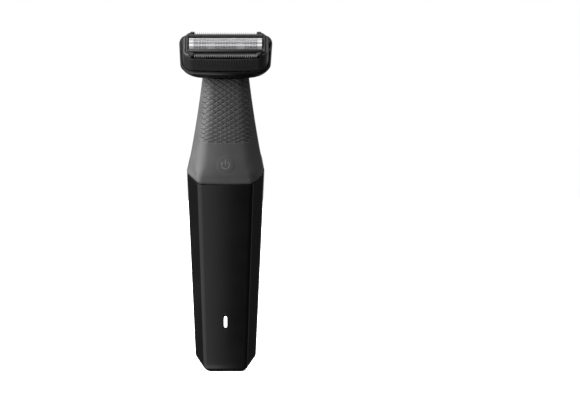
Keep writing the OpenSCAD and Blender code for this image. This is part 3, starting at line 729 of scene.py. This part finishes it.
def icon_strip(path, width, z):
    """A thin inlaid line along points (x, rise) on the front face."""
    up, out = front_directions(z)
    path = np.asarray(path, float)
    tangent = np.gradient(path, axis=0)
    tangent /= np.linalg.norm(tangent, axis=1, keepdims=True)
    side = np.stack([-tangent[:, 1], tangent[:, 0]], axis=-1) * width / 2
    rings = []
    for offset, raised in ((1, -0.1), (1, 0.015), (0.6, 0.03), (-0.6, 0.03), (-1, 0.015), (-1, -0.1)):
        p = path + side * offset
        height = z + p[:, 1] * up[2]
        rings.append(np.stack([p[:, 0], front_depth(p[:, 0], height), height], axis=-1) + out * raised)
    return closed_tube(np.array(rings).transpose(1, 0, 2))


def power_icon():
    """A plain standby symbol: an open ring with a bar in its gap."""
    radius, width = 2.4, 0.3
    angles = np.radians(np.linspace(90 + 46, 450 - 46, 49))
    ring = np.stack([radius * np.cos(angles), radius * np.sin(angles)], axis=-1)
    bar = np.stack([np.zeros(9), np.linspace(-0.2, 3.2, 9)], axis=-1)
    points, faces = join([icon_strip(ring, width, BUTTON_Z), icon_strip(bar, width, BUTTON_Z)])
    finish_mesh("power_icon_inlay", points, faces, "button", "soft_touch", ICON)


def capsule_outline(half_x, half_z, steps=12):
    """Points round an upright slot with round ends."""
    straight = half_z - half_x
    angles = np.linspace(0, math.pi, steps + 1)
    top = [(half_x * math.cos(a), straight + half_x * math.sin(a)) for a in angles]
    bottom = [(-half_x * math.cos(a), -straight - half_x * math.sin(a)) for a in angles]
    return np.array(top + bottom)


def capsule_block(half_x, half_z, z, depths):
    """A slot-shaped block on the front face: depths are (shrink, raised) pairs from inside to outside."""
    out = front_directions(z)[1]
    layers = []
    for shrink, raised in depths:
        x, rise = capsule_outline(half_x - shrink, half_z - shrink).T
        layers.append(np.stack([x, front_depth(x, z + rise), z + rise], axis=-1) + out * raised)
    return closed_tube(layers)


def light_guide():
    depths = [(0, -2.6), (0, -0.12), (0.04, -0.03), (0.14, 0.02), (0.4, 0.05)]
    points, faces = capsule_block(0.85, 3.25, LED_Z, depths)
    return finish_mesh("light_guide_glow", points, faces, "handle", "light_guide")


def bake_modifiers(piece):
    """Makes a piece's modifiers part of its mesh."""
    graph = bpy.context.evaluated_depsgraph_get()
    result = bpy.data.meshes.new_from_object(piece.evaluated_get(graph))
    piece.modifiers.clear()
    old = piece.data
    piece.data = result
    bpy.data.meshes.remove(old)


def cut_with(piece, cutter_points, cutter_faces):
    """Takes a closed cutter shape out of a piece for good."""
    mesh = bpy.data.meshes.new("cutter")
    mesh.from_pydata((np.asarray(cutter_points) * MM).tolist(), [], cutter_faces)
    tidy_normals(mesh)
    cutter = put_in_scene(bpy.data.objects.new("cutter", mesh))
    modifier = piece.modifiers.new("cut", "BOOLEAN")
    modifier.object = cutter
    modifier.operation = "DIFFERENCE"
    modifier.solver = "EXACT"
    bake_modifiers(piece)
    bpy.data.objects.remove(cutter)
    bpy.data.meshes.remove(mesh)


def build_handle():
    front = shell("front_shell_gloss", -1)
    cut_with(front, *capsule_block(0.93, 3.33, LED_Z, [(0, -4.0), (0, 2.0)]))
    add_tongues(front)
    shade_by_angle(front, 38)
    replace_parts(front, "front_shell")
    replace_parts(shell("back_shell_gloss", 1), "back_shell")
    sleeve = grip_sleeve()
    hole = BUTTON_RADIUS + BUTTON_GAP
    cut_with(sleeve, *disc_on_front(BUTTON_Z, [(hole, -6.0), (hole, 2.0)]))
    shade_by_angle(sleeve, 65)
    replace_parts(sleeve, "grip_sleeve")
    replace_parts(power_button(), "power_button")
    power_icon()
    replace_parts(light_guide(), "light_guide")


# ---------------- head pieces


BOWL_WIDTHS = [(0, 17), (1, 20.8), (2, 23.4), (3, 24.9), (4, 25.8), (6, 26.5), (10, 27.3), (14, 28), (17, 28)]
BOWL_DEPTHS = [(0, 9.5), (1, 11), (2, 12), (4, 13), (6, 13.5), (10, 13.7), (17, 13.8)]
BOWL_CORNERS = [(0, 6.6), (4, 8.4), (10, 6.8), (13, 5.2), (17, 4.8)]
BOWL_BOTTOM = 0.12
RIM_MIDDLE = 11.25
RIM_SLOPE = math.tan(math.radians(17.1))
FRAME_HALF_X, FRAME_HALF_Y, FRAME_CORNER = 25.6, 12.6, 6.3
FRAME_BOTTOM = 6.9
LIP_TOP = 16.0
FRONT_BOW = 0.8
TROUGH_FLOOR = 13.6
OPENING_X, OPENING_Y = 22.3, 10.9
BAR_TOP = 19.6
FOIL_RADIUS, FOIL_AXIS, FOIL_EDGE = 6.5, 14.5, 16.6
TRIMMER_TOP = 17.6
TOOTH_PITCH, TOOTH_COUNT = 1.26, 30


def profile_value(table, z, soften=0.6):
    """A value read off a table of (height, value) pairs, its kinks rounded."""
    heights, values = zip(*table)
    return softened(lambda h: np.interp(h, heights, values), np.asarray(z, float), soften)


def outline_columns(corner_steps, long_steps, short_steps):
    """Columns round a rounded rectangle, counted from the middle of its front edge."""
    columns = []
    half = long_steps // 2
    columns += [("line", 0, t) for t in np.linspace(0, 1, half, endpoint=False)]
    for number, steps in enumerate((short_steps, long_steps, short_steps, half)):
        start = math.radians(-90 + 90 * number)
        turns = np.linspace(0, 1, corner_steps + 1)[:-1]
        columns += [("arc", number, start + math.pi / 2 * t) for t in turns]
        columns += [("line", number + 1, t) for t in np.linspace(0, 1, steps, endpoint=False)]
    return columns


def outline_point(column, half_x, half_y, radius):
    """A column's place on the outline of half sizes half_x and half_y."""
    kind, number, value = column
    cx, cy = half_x - radius, half_y - radius
    if kind == "arc":
        sx, sy = [(1, -1), (1, 1), (-1, 1), (-1, -1)][number]
        return sx * cx + radius * math.cos(value), sy * cy + radius * math.sin(value)
    starts = [(0 * cx, -half_y), (half_x, -cy), (cx, half_y), (-half_x, cy), (-cx, -half_y)]
    ends = [(cx, -half_y), (half_x, cy), (-cx, half_y), (-half_x, -cy), (0 * cx, -half_y)]
    (ax, ay), (bx, by) = starts[number], ends[number]
    return ax + (bx - ax) * value, ay + (by - ay) * value


def bowed(x, y):
    """The head's front, drawn out a little in its middle."""
    share = np.clip(1 - (x / 24.0) ** 2, 0, 1) ** 2
    return y - np.where(y < -9.0, FRONT_BOW * share, 0)


def bowl_point(column, z, inset=0.0):
    tables = (BOWL_WIDTHS, BOWL_DEPTHS, BOWL_CORNERS)
    x, y = outline_point(column, *(profile_value(table, z - BOWL_BOTTOM) - inset for table in tables))
    return x, float(bowed(x, y))


def rim_height(column):
    z = 11.3
    for _ in range(12):
        z = RIM_MIDDLE + RIM_SLOPE * float(bowl_point(column, z)[1])
    return z


def flat_ring(columns, half_x, half_y, radius, z, bow=False):
    z = np.broadcast_to(z, len(columns))
    points = [outline_point(c, half_x, half_y, radius) for c in columns]
    return np.array([(x, float(bowed(x, y)) if bow else y, h) for (x, y), h in zip(points, z)])


RIM_EDGE = [(0.02, 1.5), (0.07, 1.15), (0.16, 0.82), (0.27, 0.54),
            (0.4, 0.3), (0.54, 0.12), (0.68, 0.02), (0.78, 0.03)]
POCKET_FLOOR = 5.6
BOWL_FLOOR = 3.4


def head_bowl():
    """The glossy bowl: skin, rounded rim, pocket, floor and the opening for the collar's boss."""
    columns = outline_columns(16, 60, 24)
    rims = np.array([rim_height(c) for c in columns])
    rings = []
    for level in [0.12, 0.3, 0.6, 1, 1.5, 2, 2.6, 3.2, 4, 5]:
        rings.append([(*bowl_point(c, level), level) for c in columns])
    for share in np.linspace(0.1, 1, 7):
        heights = 5 + (rims - RIM_EDGE[0][1] - 0.2 - 5) * share
        rings.append([(*bowl_point(c, h), h) for c, h in zip(columns, heights)])
    for inset, drop in RIM_EDGE:
        rings.append([(*bowl_point(c, h, inset), h - drop) for c, h in zip(columns, rims)])
    pocket = (FRAME_HALF_X + 0.25, FRAME_HALF_Y + 0.25, FRAME_CORNER + 0.25)
    rings.append(flat_ring(columns, *pocket, rims - 0.3, True))
    for inset, z in ((0, POCKET_FLOOR + 0.8), (0, POCKET_FLOOR + 0.3), (0.3, POCKET_FLOOR)):
        rings.append(flat_ring(columns, *(p - inset for p in pocket), z, True))
    for half_x, half_y, radius, z in (
        (22.6, 10.8, 5, POCKET_FLOOR), (22.4, 10.6, 5, POCKET_FLOOR - 0.2), (22.4, 10.6, 5, BOWL_FLOOR),
        (10.7, 5.45, 3, BOWL_FLOOR), (10.7, 5.45, 3, BOWL_BOTTOM),
    ):
        rings.append(flat_ring(columns, half_x, half_y, radius, z))
    rings = np.array([np.asarray(r, float) for r in rings])
    faces = grid_faces(len(rings), len(columns), True, True)
    points = head_points(rings).reshape(-1, 3)
    return finish_mesh("head_bowl_gloss", points, faces, "shaving_head", "gloss_shell", sharp=40)


RIB_PITCH = 1.6
RIB_DEPTH = 0.13


def front_ribs(x, z):
    """Faint upright ribs on the upper part of the frame's front wall."""
    band = np.clip((z - 10.6) / 1.5, 0, 1) * np.clip((16.0 - z) / 0.8, 0, 1) * (np.abs(x) < 17)
    return RIB_DEPTH * band * np.maximum(np.cos(2 * math.pi * x / RIB_PITCH), 0) ** 2


def frame_wall():
    """The frame's wall: ribbed outside, rounded top edge, seats and straight inside."""
    columns = outline_columns(14, 340, 20)
    foot = [(0, 0.7), (0.45, 0.65), (0.55, 0.3), (0.65, 0.05)]
    lip = [(0.22, 0.03), (0.08, 0.1), (0, 0.24), (0, 0.4), (0.1, 0.5)]
    outside = [(FRAME_BOTTOM + rise, inset) for rise, inset in foot]
    outside += [(z, 0) for z in np.linspace(FRAME_BOTTOM + 0.8, LIP_TOP - 0.5, 14)]
    outside += [(LIP_TOP - drop, inset) for drop, inset in lip] + [(TROUGH_FLOOR, 0.55)]
    rings = []
    for z, inset in outside:
        sizes = (FRAME_HALF_X - inset, FRAME_HALF_Y - inset, FRAME_CORNER - inset)
        ring = flat_ring(columns, *sizes, z, True)
        front = ring[:, 1] < -FRAME_HALF_Y + 1.2
        ring[:, 1] -= np.where(front, front_ribs(ring[:, 0], z), 0)
        rings.append(ring)
    for z, inset in ((TROUGH_FLOOR, 0.2), (TROUGH_FLOOR - 0.2, 0), (FRAME_BOTTOM, 0)):
        rings.append(flat_ring(columns, OPENING_X + inset, OPENING_Y + inset, 0.8 + inset, z))
    rings = np.array(rings)
    return rings.reshape(-1, 3), grid_faces(len(rings), len(columns), True, True)


def outer_edge(y):
    """Half width of the frame's outline at a place along y."""
    over = np.maximum(np.abs(y) - (FRAME_HALF_Y - FRAME_CORNER), 0)
    return FRAME_HALF_X - FRAME_CORNER + np.sqrt(FRAME_CORNER**2 - over**2)


def cheek(side):
    """An end cheek: an inner ridge with round horns at both ends, a groove and an outer ridge."""
    rings = []
    horn = np.linspace(8.4, 12.35, 16)
    for y in np.concatenate([-horn[::-1], np.linspace(-7.8, 7.8, 14), horn]):
        turn = np.clip((abs(y) - 9.0) / 1.4, 0, 1)
        turn = turn * turn * (3 - 2 * turn)
        low_inner = 22.3 - 1.75 * turn
        inner = 22.3 - 3.7 * turn
        end = np.clip((12.35 - abs(y)) / 1.3, 0, 1)
        fall = 1.3 * (1 - math.sqrt(1 - (1 - end) ** 2))
        top = 18.7 + (0.55 if y > 0 else 0.2) * turn - fall
        outer = float(outer_edge(y)) - 0.02
        crest = min(1.35 + 1.3 * turn, 0.6 * (outer - inner))
        span = outer - inner - crest
        ridge = inner + crest
        shape = [(low_inner, 9.0), (low_inner, TRIMMER_TOP + 0.06), (inner + 0.15, TRIMMER_TOP + 0.1),
                 (inner, top - 0.55), (inner + 0.12, top - 0.2), (inner + 0.35, top), (ridge - 0.3, top),
                 (ridge - 0.05, top - 0.15), (ridge, top - 0.4), (ridge + 0.04, top - 1.9)]
        groove = [(0.15, 1.9), (0.18, 1.05), (0.3, 0.8), (0.6, 1.0), (0.8, 1.4), (0.95, 2.0)]
        shape += [(ridge + share * span, top - drop) for share, drop in groove]
        shape += [(outer, top - 2.7), (outer, 9.0)]
        rings.append([(side * x, y, z) for x, z in shape])
    return closed_tube(rings)


def rounded_bar(x_low, x_high, outline):
    """A bar along x with a closed (y, z) outline, its ends drawn in a little."""
    outline = np.asarray(outline, float)
    middle = outline.mean(axis=0)
    rings = []
    for x, share in ((x_low, 0.9), (x_low + 0.15, 1), (x_high - 0.15, 1), (x_high, 0.9)):
        ring = middle + (outline - middle) * share
        rings.append([(x, y, z) for y, z in ring])
    return closed_tube(rings)


def cassette_frame():
    """The matte frame: its wall, the two end cheeks and the bridges under them."""
    parts = [frame_wall(), cheek(1), cheek(-1)]
    bridge = [(-11, 7.8), (11, 7.8), (11, 9.2), (-11, 9.2)]
    parts += [rounded_bar(15.6, 22.4, bridge), rounded_bar(-22.4, -15.6, bridge)]
    points, faces = join(parts)
    return finish_mesh("cassette_frame_matte", head_points(points), faces, "cassette", "matte_head", sharp=40)


def skin_bars():
    """The two smooth bars beside the foil, undercut next to the trimmers."""
    crown = [(6.95, 0.75), (7.1, 0.3), (7.45, 0.05), (7.9, 0), (8.4, 0.1), (8.85, 0.4), (9.05, 0.85),
             (9.0, 1.15), (8.85, 1.35), (8.6, 1.6)]
    foot = [(8.6, 0.16), (10.45, 0.12), (10.55, 0.08), (10.55, 0.02), (8.4, 0.02)]
    section = [(6.95, 15.6)] + [(y, BAR_TOP - drop) for y, drop in crown]
    section += [(y, TRIMMER_TOP + rise) for y, rise in foot] + [(8.4, 15.6)]
    half = OPENING_X - 0.05
    points, faces = join([rounded_bar(-half, half, [(side * y, z) for y, z in section]) for side in (1, -1)])
    return finish_mesh("skin_bars_matte", head_points(points), faces, "cassette", "matte_head", sharp=35)


def foil_point(x, turn):
    return x, FOIL_RADIUS * math.sin(turn), FOIL_AXIS + FOIL_RADIUS * math.cos(turn)


def foil():
    """The arched foil, really perforated: rows of octagonal holes, each row half a cell on."""
    half_length = 0.5 * (FOIL_HIGH[0] - FOIL_LOW[0])
    half_turn = math.acos((FOIL_EDGE - FOIL_AXIS) / FOIL_RADIUS)
    band, rows, columns = 2.4, 18, 44
    edge_turn = half_turn * 0.94
    cell_x = 2 * (half_length - band) / columns
    cell_turn = 2 * edge_turn / rows
    verts, faces = [], []

    def quad(*corners):
        start = len(verts)
        verts.extend(foil_point(x, turn) for x, turn in corners)
        faces.append(tuple(range(start, start + len(corners))))

    def patch(left, right, low, high):
        quad((left, low), (right, low), (right, high), (left, high))

    for row in range(rows):
        low = -edge_turn + row * cell_turn
        first = -half_length + band + (0.5 * cell_x if row % 2 else 0)
        for k in range(columns - row % 2):
            left = first + k * cell_x
            rim = [(0, 0), (0.5, 0), (1, 0), (1, 0.5), (1, 1), (0.5, 1), (0, 1), (0, 0.5)]
            hole = [(0.5 + 0.4 * math.cos(a), 0.5 + 0.44 * math.sin(a))
                    for a in (math.radians(-135 + 45 * n) for n in range(8))]
            for n in range(8):
                ring = (rim[n], rim[(n + 1) % 8], hole[(n + 1) % 8], hole[n])
                quad(*((left + u * cell_x, low + v * cell_turn) for u, v in ring))
        if row % 2:
            for left in (-half_length + band, half_length - band - 0.5 * cell_x):
                for v in (0, 0.5):
                    turns = (low + v * cell_turn, low + (v + 0.5) * cell_turn)
                    patch(left, left + 0.5 * cell_x, *turns)
    for left, right in ((-half_length, -half_length + band), (half_length - band, half_length)):
        for row in range(2 * rows):
            low = -edge_turn + row * cell_turn / 2
            patch(left, right, low, low + cell_turn / 2)
    steps = [-half_length + band + 0.5 * cell_x * n for n in range(2 * columns + 1)]
    steps = [-half_length] + steps + [half_length]
    for low, high in ((-half_turn, -edge_turn), (edge_turn, half_turn)):
        for left, right in zip(steps[:-1], steps[1:]):
            patch(left, right, low, high)
    piece = finish_mesh("foil_perforated", head_points(verts), faces, "cassette", "foil_steel")
    thick = piece.modifiers.new("sheet", "SOLIDIFY")
    thick.thickness = 0.1 * MM
    thick.offset = -1
    bake_modifiers(piece)
    shade_by_angle(piece, 40)
    return piece


def comb_teeth(root_y, tip_y, low, high, root_w, tip_w, side, limit):
    """Tapered teeth along one side of a trimmer, each drawn in and thinned towards its tip."""
    parts = []
    for k in range(TOOTH_COUNT):
        x = (k - (TOOTH_COUNT - 1) / 2) * TOOTH_PITCH
        if abs(x) + root_w / 2 > limit:
            continue
        rings = []
        for share, drop in ((0, 0), (0.55, 0.03), (0.9, 0.09), (1.0, 0.14)):
            y = side * (root_y + (tip_y - root_y) * share)
            half = 0.5 * (root_w + (tip_w - root_w) * share)
            rings.append([(x - half, y, low), (x + half, y, low), (x + 0.8 * half, y, high - drop),
                          (x - 0.8 * half, y, high - drop)])
        parts.append(closed_tube(rings))
    return parts


def trimmer(name, body, half_length, high, tip_y, root_w, tip_w):
    """A plate and a comb of teeth along each long edge, their tops at a height."""
    low = high - 0.3
    parts = []
    for side in (1, -1):
        spine = [(side * 9.5, low), (side * 11.0, low), (side * 11.0, high - 0.03), (side * 10.97, high),
                 (side * 9.55, high), (side * 9.5, high - 0.05)]
        parts.append(rounded_bar(-half_length, half_length, spine))
        parts += comb_teeth(10.95, tip_y, low + 0.02, high - 0.01, root_w, tip_w, side, half_length)
    points, faces = join(parts)
    # The combs take the darker steel, which partly paints in the shade that falls between and under the guard
    # teeth.
    return finish_mesh(name, head_points(points), faces, body, "foil_steel", TEETH_STEEL_PAINTED_SHADE, sharp=0)


def build_head():
    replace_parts(head_bowl(), "head_bowl")
    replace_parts(cassette_frame(), "cassette_frame")
    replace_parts(skin_bars(), "skin_bars")
    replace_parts(foil(), "foil")
    guards = trimmer("trimmer_guards_comb", "cassette", 20.4, TRIMMER_TOP, 13.1, 0.64, 0.3)
    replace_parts(guards, "trimmer_guards")
    blades = trimmer("trimmer_blades_comb", "cutter", 18.6, TRIMMER_TOP - 0.35, 12.4, 0.5, 0.25)
    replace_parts(blades, "trimmer_blades")


def flatten_springs():
    """A copy of the float springs that rides on the shaving head in place of the imported node."""
    node = frame["nodes"]["float_springs"]
    coils = node.copy()
    coils.data = node.data.copy()
    coils.name = "float_springs_coils"
    for key in list(coils.keys()):
        del coils[key]
    coils.parent = None
    put_in_scene(coils)
    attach(coils, "shaving_head")
    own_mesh(coils)
    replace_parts(coils, "float_springs")


# ---------------- stage, light and camera


def ramp(nodes, links, value, stops):
    node = nodes.new("ShaderNodeValToRGB")
    node.color_ramp.interpolation = "LINEAR"
    while len(node.color_ramp.elements) < len(stops):
        node.color_ramp.elements.new(0.5)
    for element, (place, _) in zip(node.color_ramp.elements, stops):
        element.position = place
    for element, (_, level) in zip(node.color_ramp.elements, stops):
        element.color = (level, level, level, 1)
    links.new(value, node.inputs["Fac"])
    return node.outputs["Color"]


def math_node(nodes, links, operation, first, second=None):
    """A sum on sockets or numbers."""
    node = nodes.new("ShaderNodeMath")
    node.operation = operation
    for socket, value in zip(node.inputs, (first, second)):
        if value is None:
            continue
        if isinstance(value, (int, float)):
            socket.default_value = value
        else:
            links.new(value, socket)
    return node.outputs["Value"]


FLOOR_GLOW = 0.8
LOW_ROUND = [(-180, 0.6), (-150, 0.25), (-116, 0.03), (-102, 0.04), (-94, 0.45), (-80, 1.3), (-30, 1.4),
             (-12, 1.15), (-6, 0.78), (-2, 0.42), (1, 0.12), (4, 0.035), (8, 0.015), (74, 0.02), (83, 0.5),
             (92, 0.5), (99, 0.12), (114, 0.12), (136, 0.7), (180, 0.6)]
LOW_HEIGHT = [(-90, 0.04), (-50, 0.2), (-24, 0.8), (-12, 1.0), (20, 0.9), (60, 0.42), (90, 0.2)]
UNDER_ROUND = [(-180, 0.0), (-100, 0.05), (-40, 0.5), (-12, 1.0), (-6, 0.7), (-1, 0.2), (3, 0.02),
               (180, 0.0)]
UNDER_HEIGHT = [(-90, 0.05), (-66, 0.1), (-52, 0.7), (-40, 1.0), (-30, 0.9), (-16, 0.1), (-10, 0.0),
                (90, 0.0)]
UNDER_PEAK = 2.0
BOX_ROUND = [(-180, 0.0), (-120, 0.0), (-102, 1.0), (-68, 1.0), (-50, 0.14), (-30, 0.03), (-10, 0.0),
             (180, 0.0)]
BOX_HEIGHT = [(-90, 0.0), (7, 0.0), (17, 1.0), (48, 1.0), (66, 0.1), (90, 0.0)]
BOX_PEAK = 19.0
BOX_GLOSSY_PEAK = 1.3
TOP_LIGHT = [(-90, 0.0), (26, 0.0), (36, 0.9), (54, 1.0), (58, 0.02), (70, 0.02), (74, 0.9), (90, 0.9)]


def camera_sees(nodes, links, by_camera, by_others):
    """A shader that shows the camera one thing and every other ray another."""
    path, mix = nodes.new("ShaderNodeLightPath"), nodes.new("ShaderNodeMixShader")
    links.new(path.outputs["Is Camera Ray"], mix.inputs["Fac"])
    links.new(by_others, mix.inputs[1])
    links.new(by_camera, mix.inputs[2])
    return mix.outputs["Shader"]


def angle_ramp(nodes, links, angle, half_turn, stops):
    """Light levels at given degrees of an angle in radians, which runs half a turn either way."""
    share = math_node(nodes, links, "DIVIDE", angle, 2 * math.radians(half_turn))
    share = math_node(nodes, links, "ADD", share, 0.5)
    return ramp(nodes, links, share, [(degrees / (2 * half_turn) + 0.5, level) for degrees, level in stops])


def studio_world():
    """White to the camera; to everything else a studio: a tall soft light on the left, dim elsewhere."""
    world = bpy.data.worlds.new("studio")
    bpy.context.scene.world = world
    world.use_nodes = True
    nodes, links = world.node_tree.nodes, world.node_tree.links
    nodes.clear()
    direction = nodes.new("ShaderNodeTexCoord").outputs["Generated"]
    split = nodes.new("ShaderNodeSeparateXYZ")
    links.new(direction, split.inputs["Vector"])
    front = math_node(nodes, links, "MULTIPLY", split.outputs["Y"], -1.0)
    azimuth = math_node(nodes, links, "ARCTAN2", split.outputs["X"], front)
    height = math_node(nodes, links, "ARCSINE", split.outputs["Z"])
    total = angle_ramp(nodes, links, height, 90, TOP_LIGHT)
    path = nodes.new("ShaderNodeLightPath")
    box_peak = math_node(nodes, links, "MULTIPLY", path.outputs["Is Glossy Ray"], BOX_GLOSSY_PEAK - BOX_PEAK)
    box_peak = math_node(nodes, links, "ADD", box_peak, BOX_PEAK)
    low_light = (LOW_ROUND, LOW_HEIGHT, 1.0)
    under_light = (UNDER_ROUND, UNDER_HEIGHT, UNDER_PEAK)
    box_light = (BOX_ROUND, BOX_HEIGHT, box_peak)
    for round_stops, height_stops, peak in (low_light, under_light, box_light):
        sides = angle_ramp(nodes, links, azimuth, 180, round_stops)
        levels = angle_ramp(nodes, links, height, 90, height_stops)
        both = math_node(nodes, links, "MULTIPLY", sides, levels)
        total = math_node(nodes, links, "ADD", total, math_node(nodes, links, "MULTIPLY", both, peak))
    studio = nodes.new("ShaderNodeBackground")
    links.new(total, studio.inputs["Color"])
    white = nodes.new("ShaderNodeBackground")
    set_inputs(white, {"Color": (1, 1, 1, 1), "Strength": 1.0})
    both = camera_sees(nodes, links, white.outputs["Background"], studio.outputs["Background"])
    links.new(both, nodes.new("ShaderNodeOutputWorld").inputs["Surface"])


def pale_floor():
    """A plain pale floor for the camera; reflections and light pass it to the studio round it."""
    material, nodes, links, bsdf = node_material("pale_floor")
    set_inputs(bsdf, {"Base Color": (0.85, 0.85, 0.85, 1), "Roughness": 0.9, "Specular IOR Level": 0.1})
    set_inputs(bsdf, {"Emission Color": (1, 1, 1, 1), "Emission Strength": FLOOR_GLOW})
    clear = nodes.new("ShaderNodeBsdfTransparent")
    both = camera_sees(nodes, links, bsdf.outputs["BSDF"], clear.outputs["BSDF"])
    links.new(both, nodes["Material Output"].inputs["Surface"])
    half = 6.0
    mesh = bpy.data.meshes.new("floor")
    corners = [(-half, -half, 0), (half, -half, 0), (half, half, 0), (-half, half, 0)]
    mesh.from_pydata(corners, [], [(0, 1, 2, 3)])
    mesh.materials.append(material)
    put_in_scene(bpy.data.objects.new("floor", mesh))


MM_PER_PIXEL = 0.6
FRAME_WIDTH_MM = 580 * MM_PER_PIXEL
SENSOR_WIDTH = 36
AIM = (38.5, 0.0, 101.2)
CAMERA_DISTANCE = 3000.0
CAMERA_RISE = 1.0


def photo_camera():
    camera_data = bpy.data.cameras.new("camera")
    camera_data.sensor_width = SENSOR_WIDTH
    camera_data.lens = SENSOR_WIDTH * CAMERA_DISTANCE / FRAME_WIDTH_MM
    camera_data.clip_start, camera_data.clip_end = 0.1, 30
    camera = put_in_scene(bpy.data.objects.new("camera", camera_data))
    rise = math.radians(CAMERA_RISE)
    back = Vector((0, -math.cos(rise), math.sin(rise)))
    camera.location = (Vector(AIM) + back * CAMERA_DISTANCE) * MM
    camera.rotation_mode = "QUATERNION"
    camera.rotation_quaternion = (-back).to_track_quat("-Z", "Y")
    bpy.context.scene.camera = camera


dress_cad_nodes()
build_handle()
build_head()
flatten_springs()
studio_world()
pale_floor()
photo_camera()
bpy.context.scene.view_settings.view_transform = "Standard"
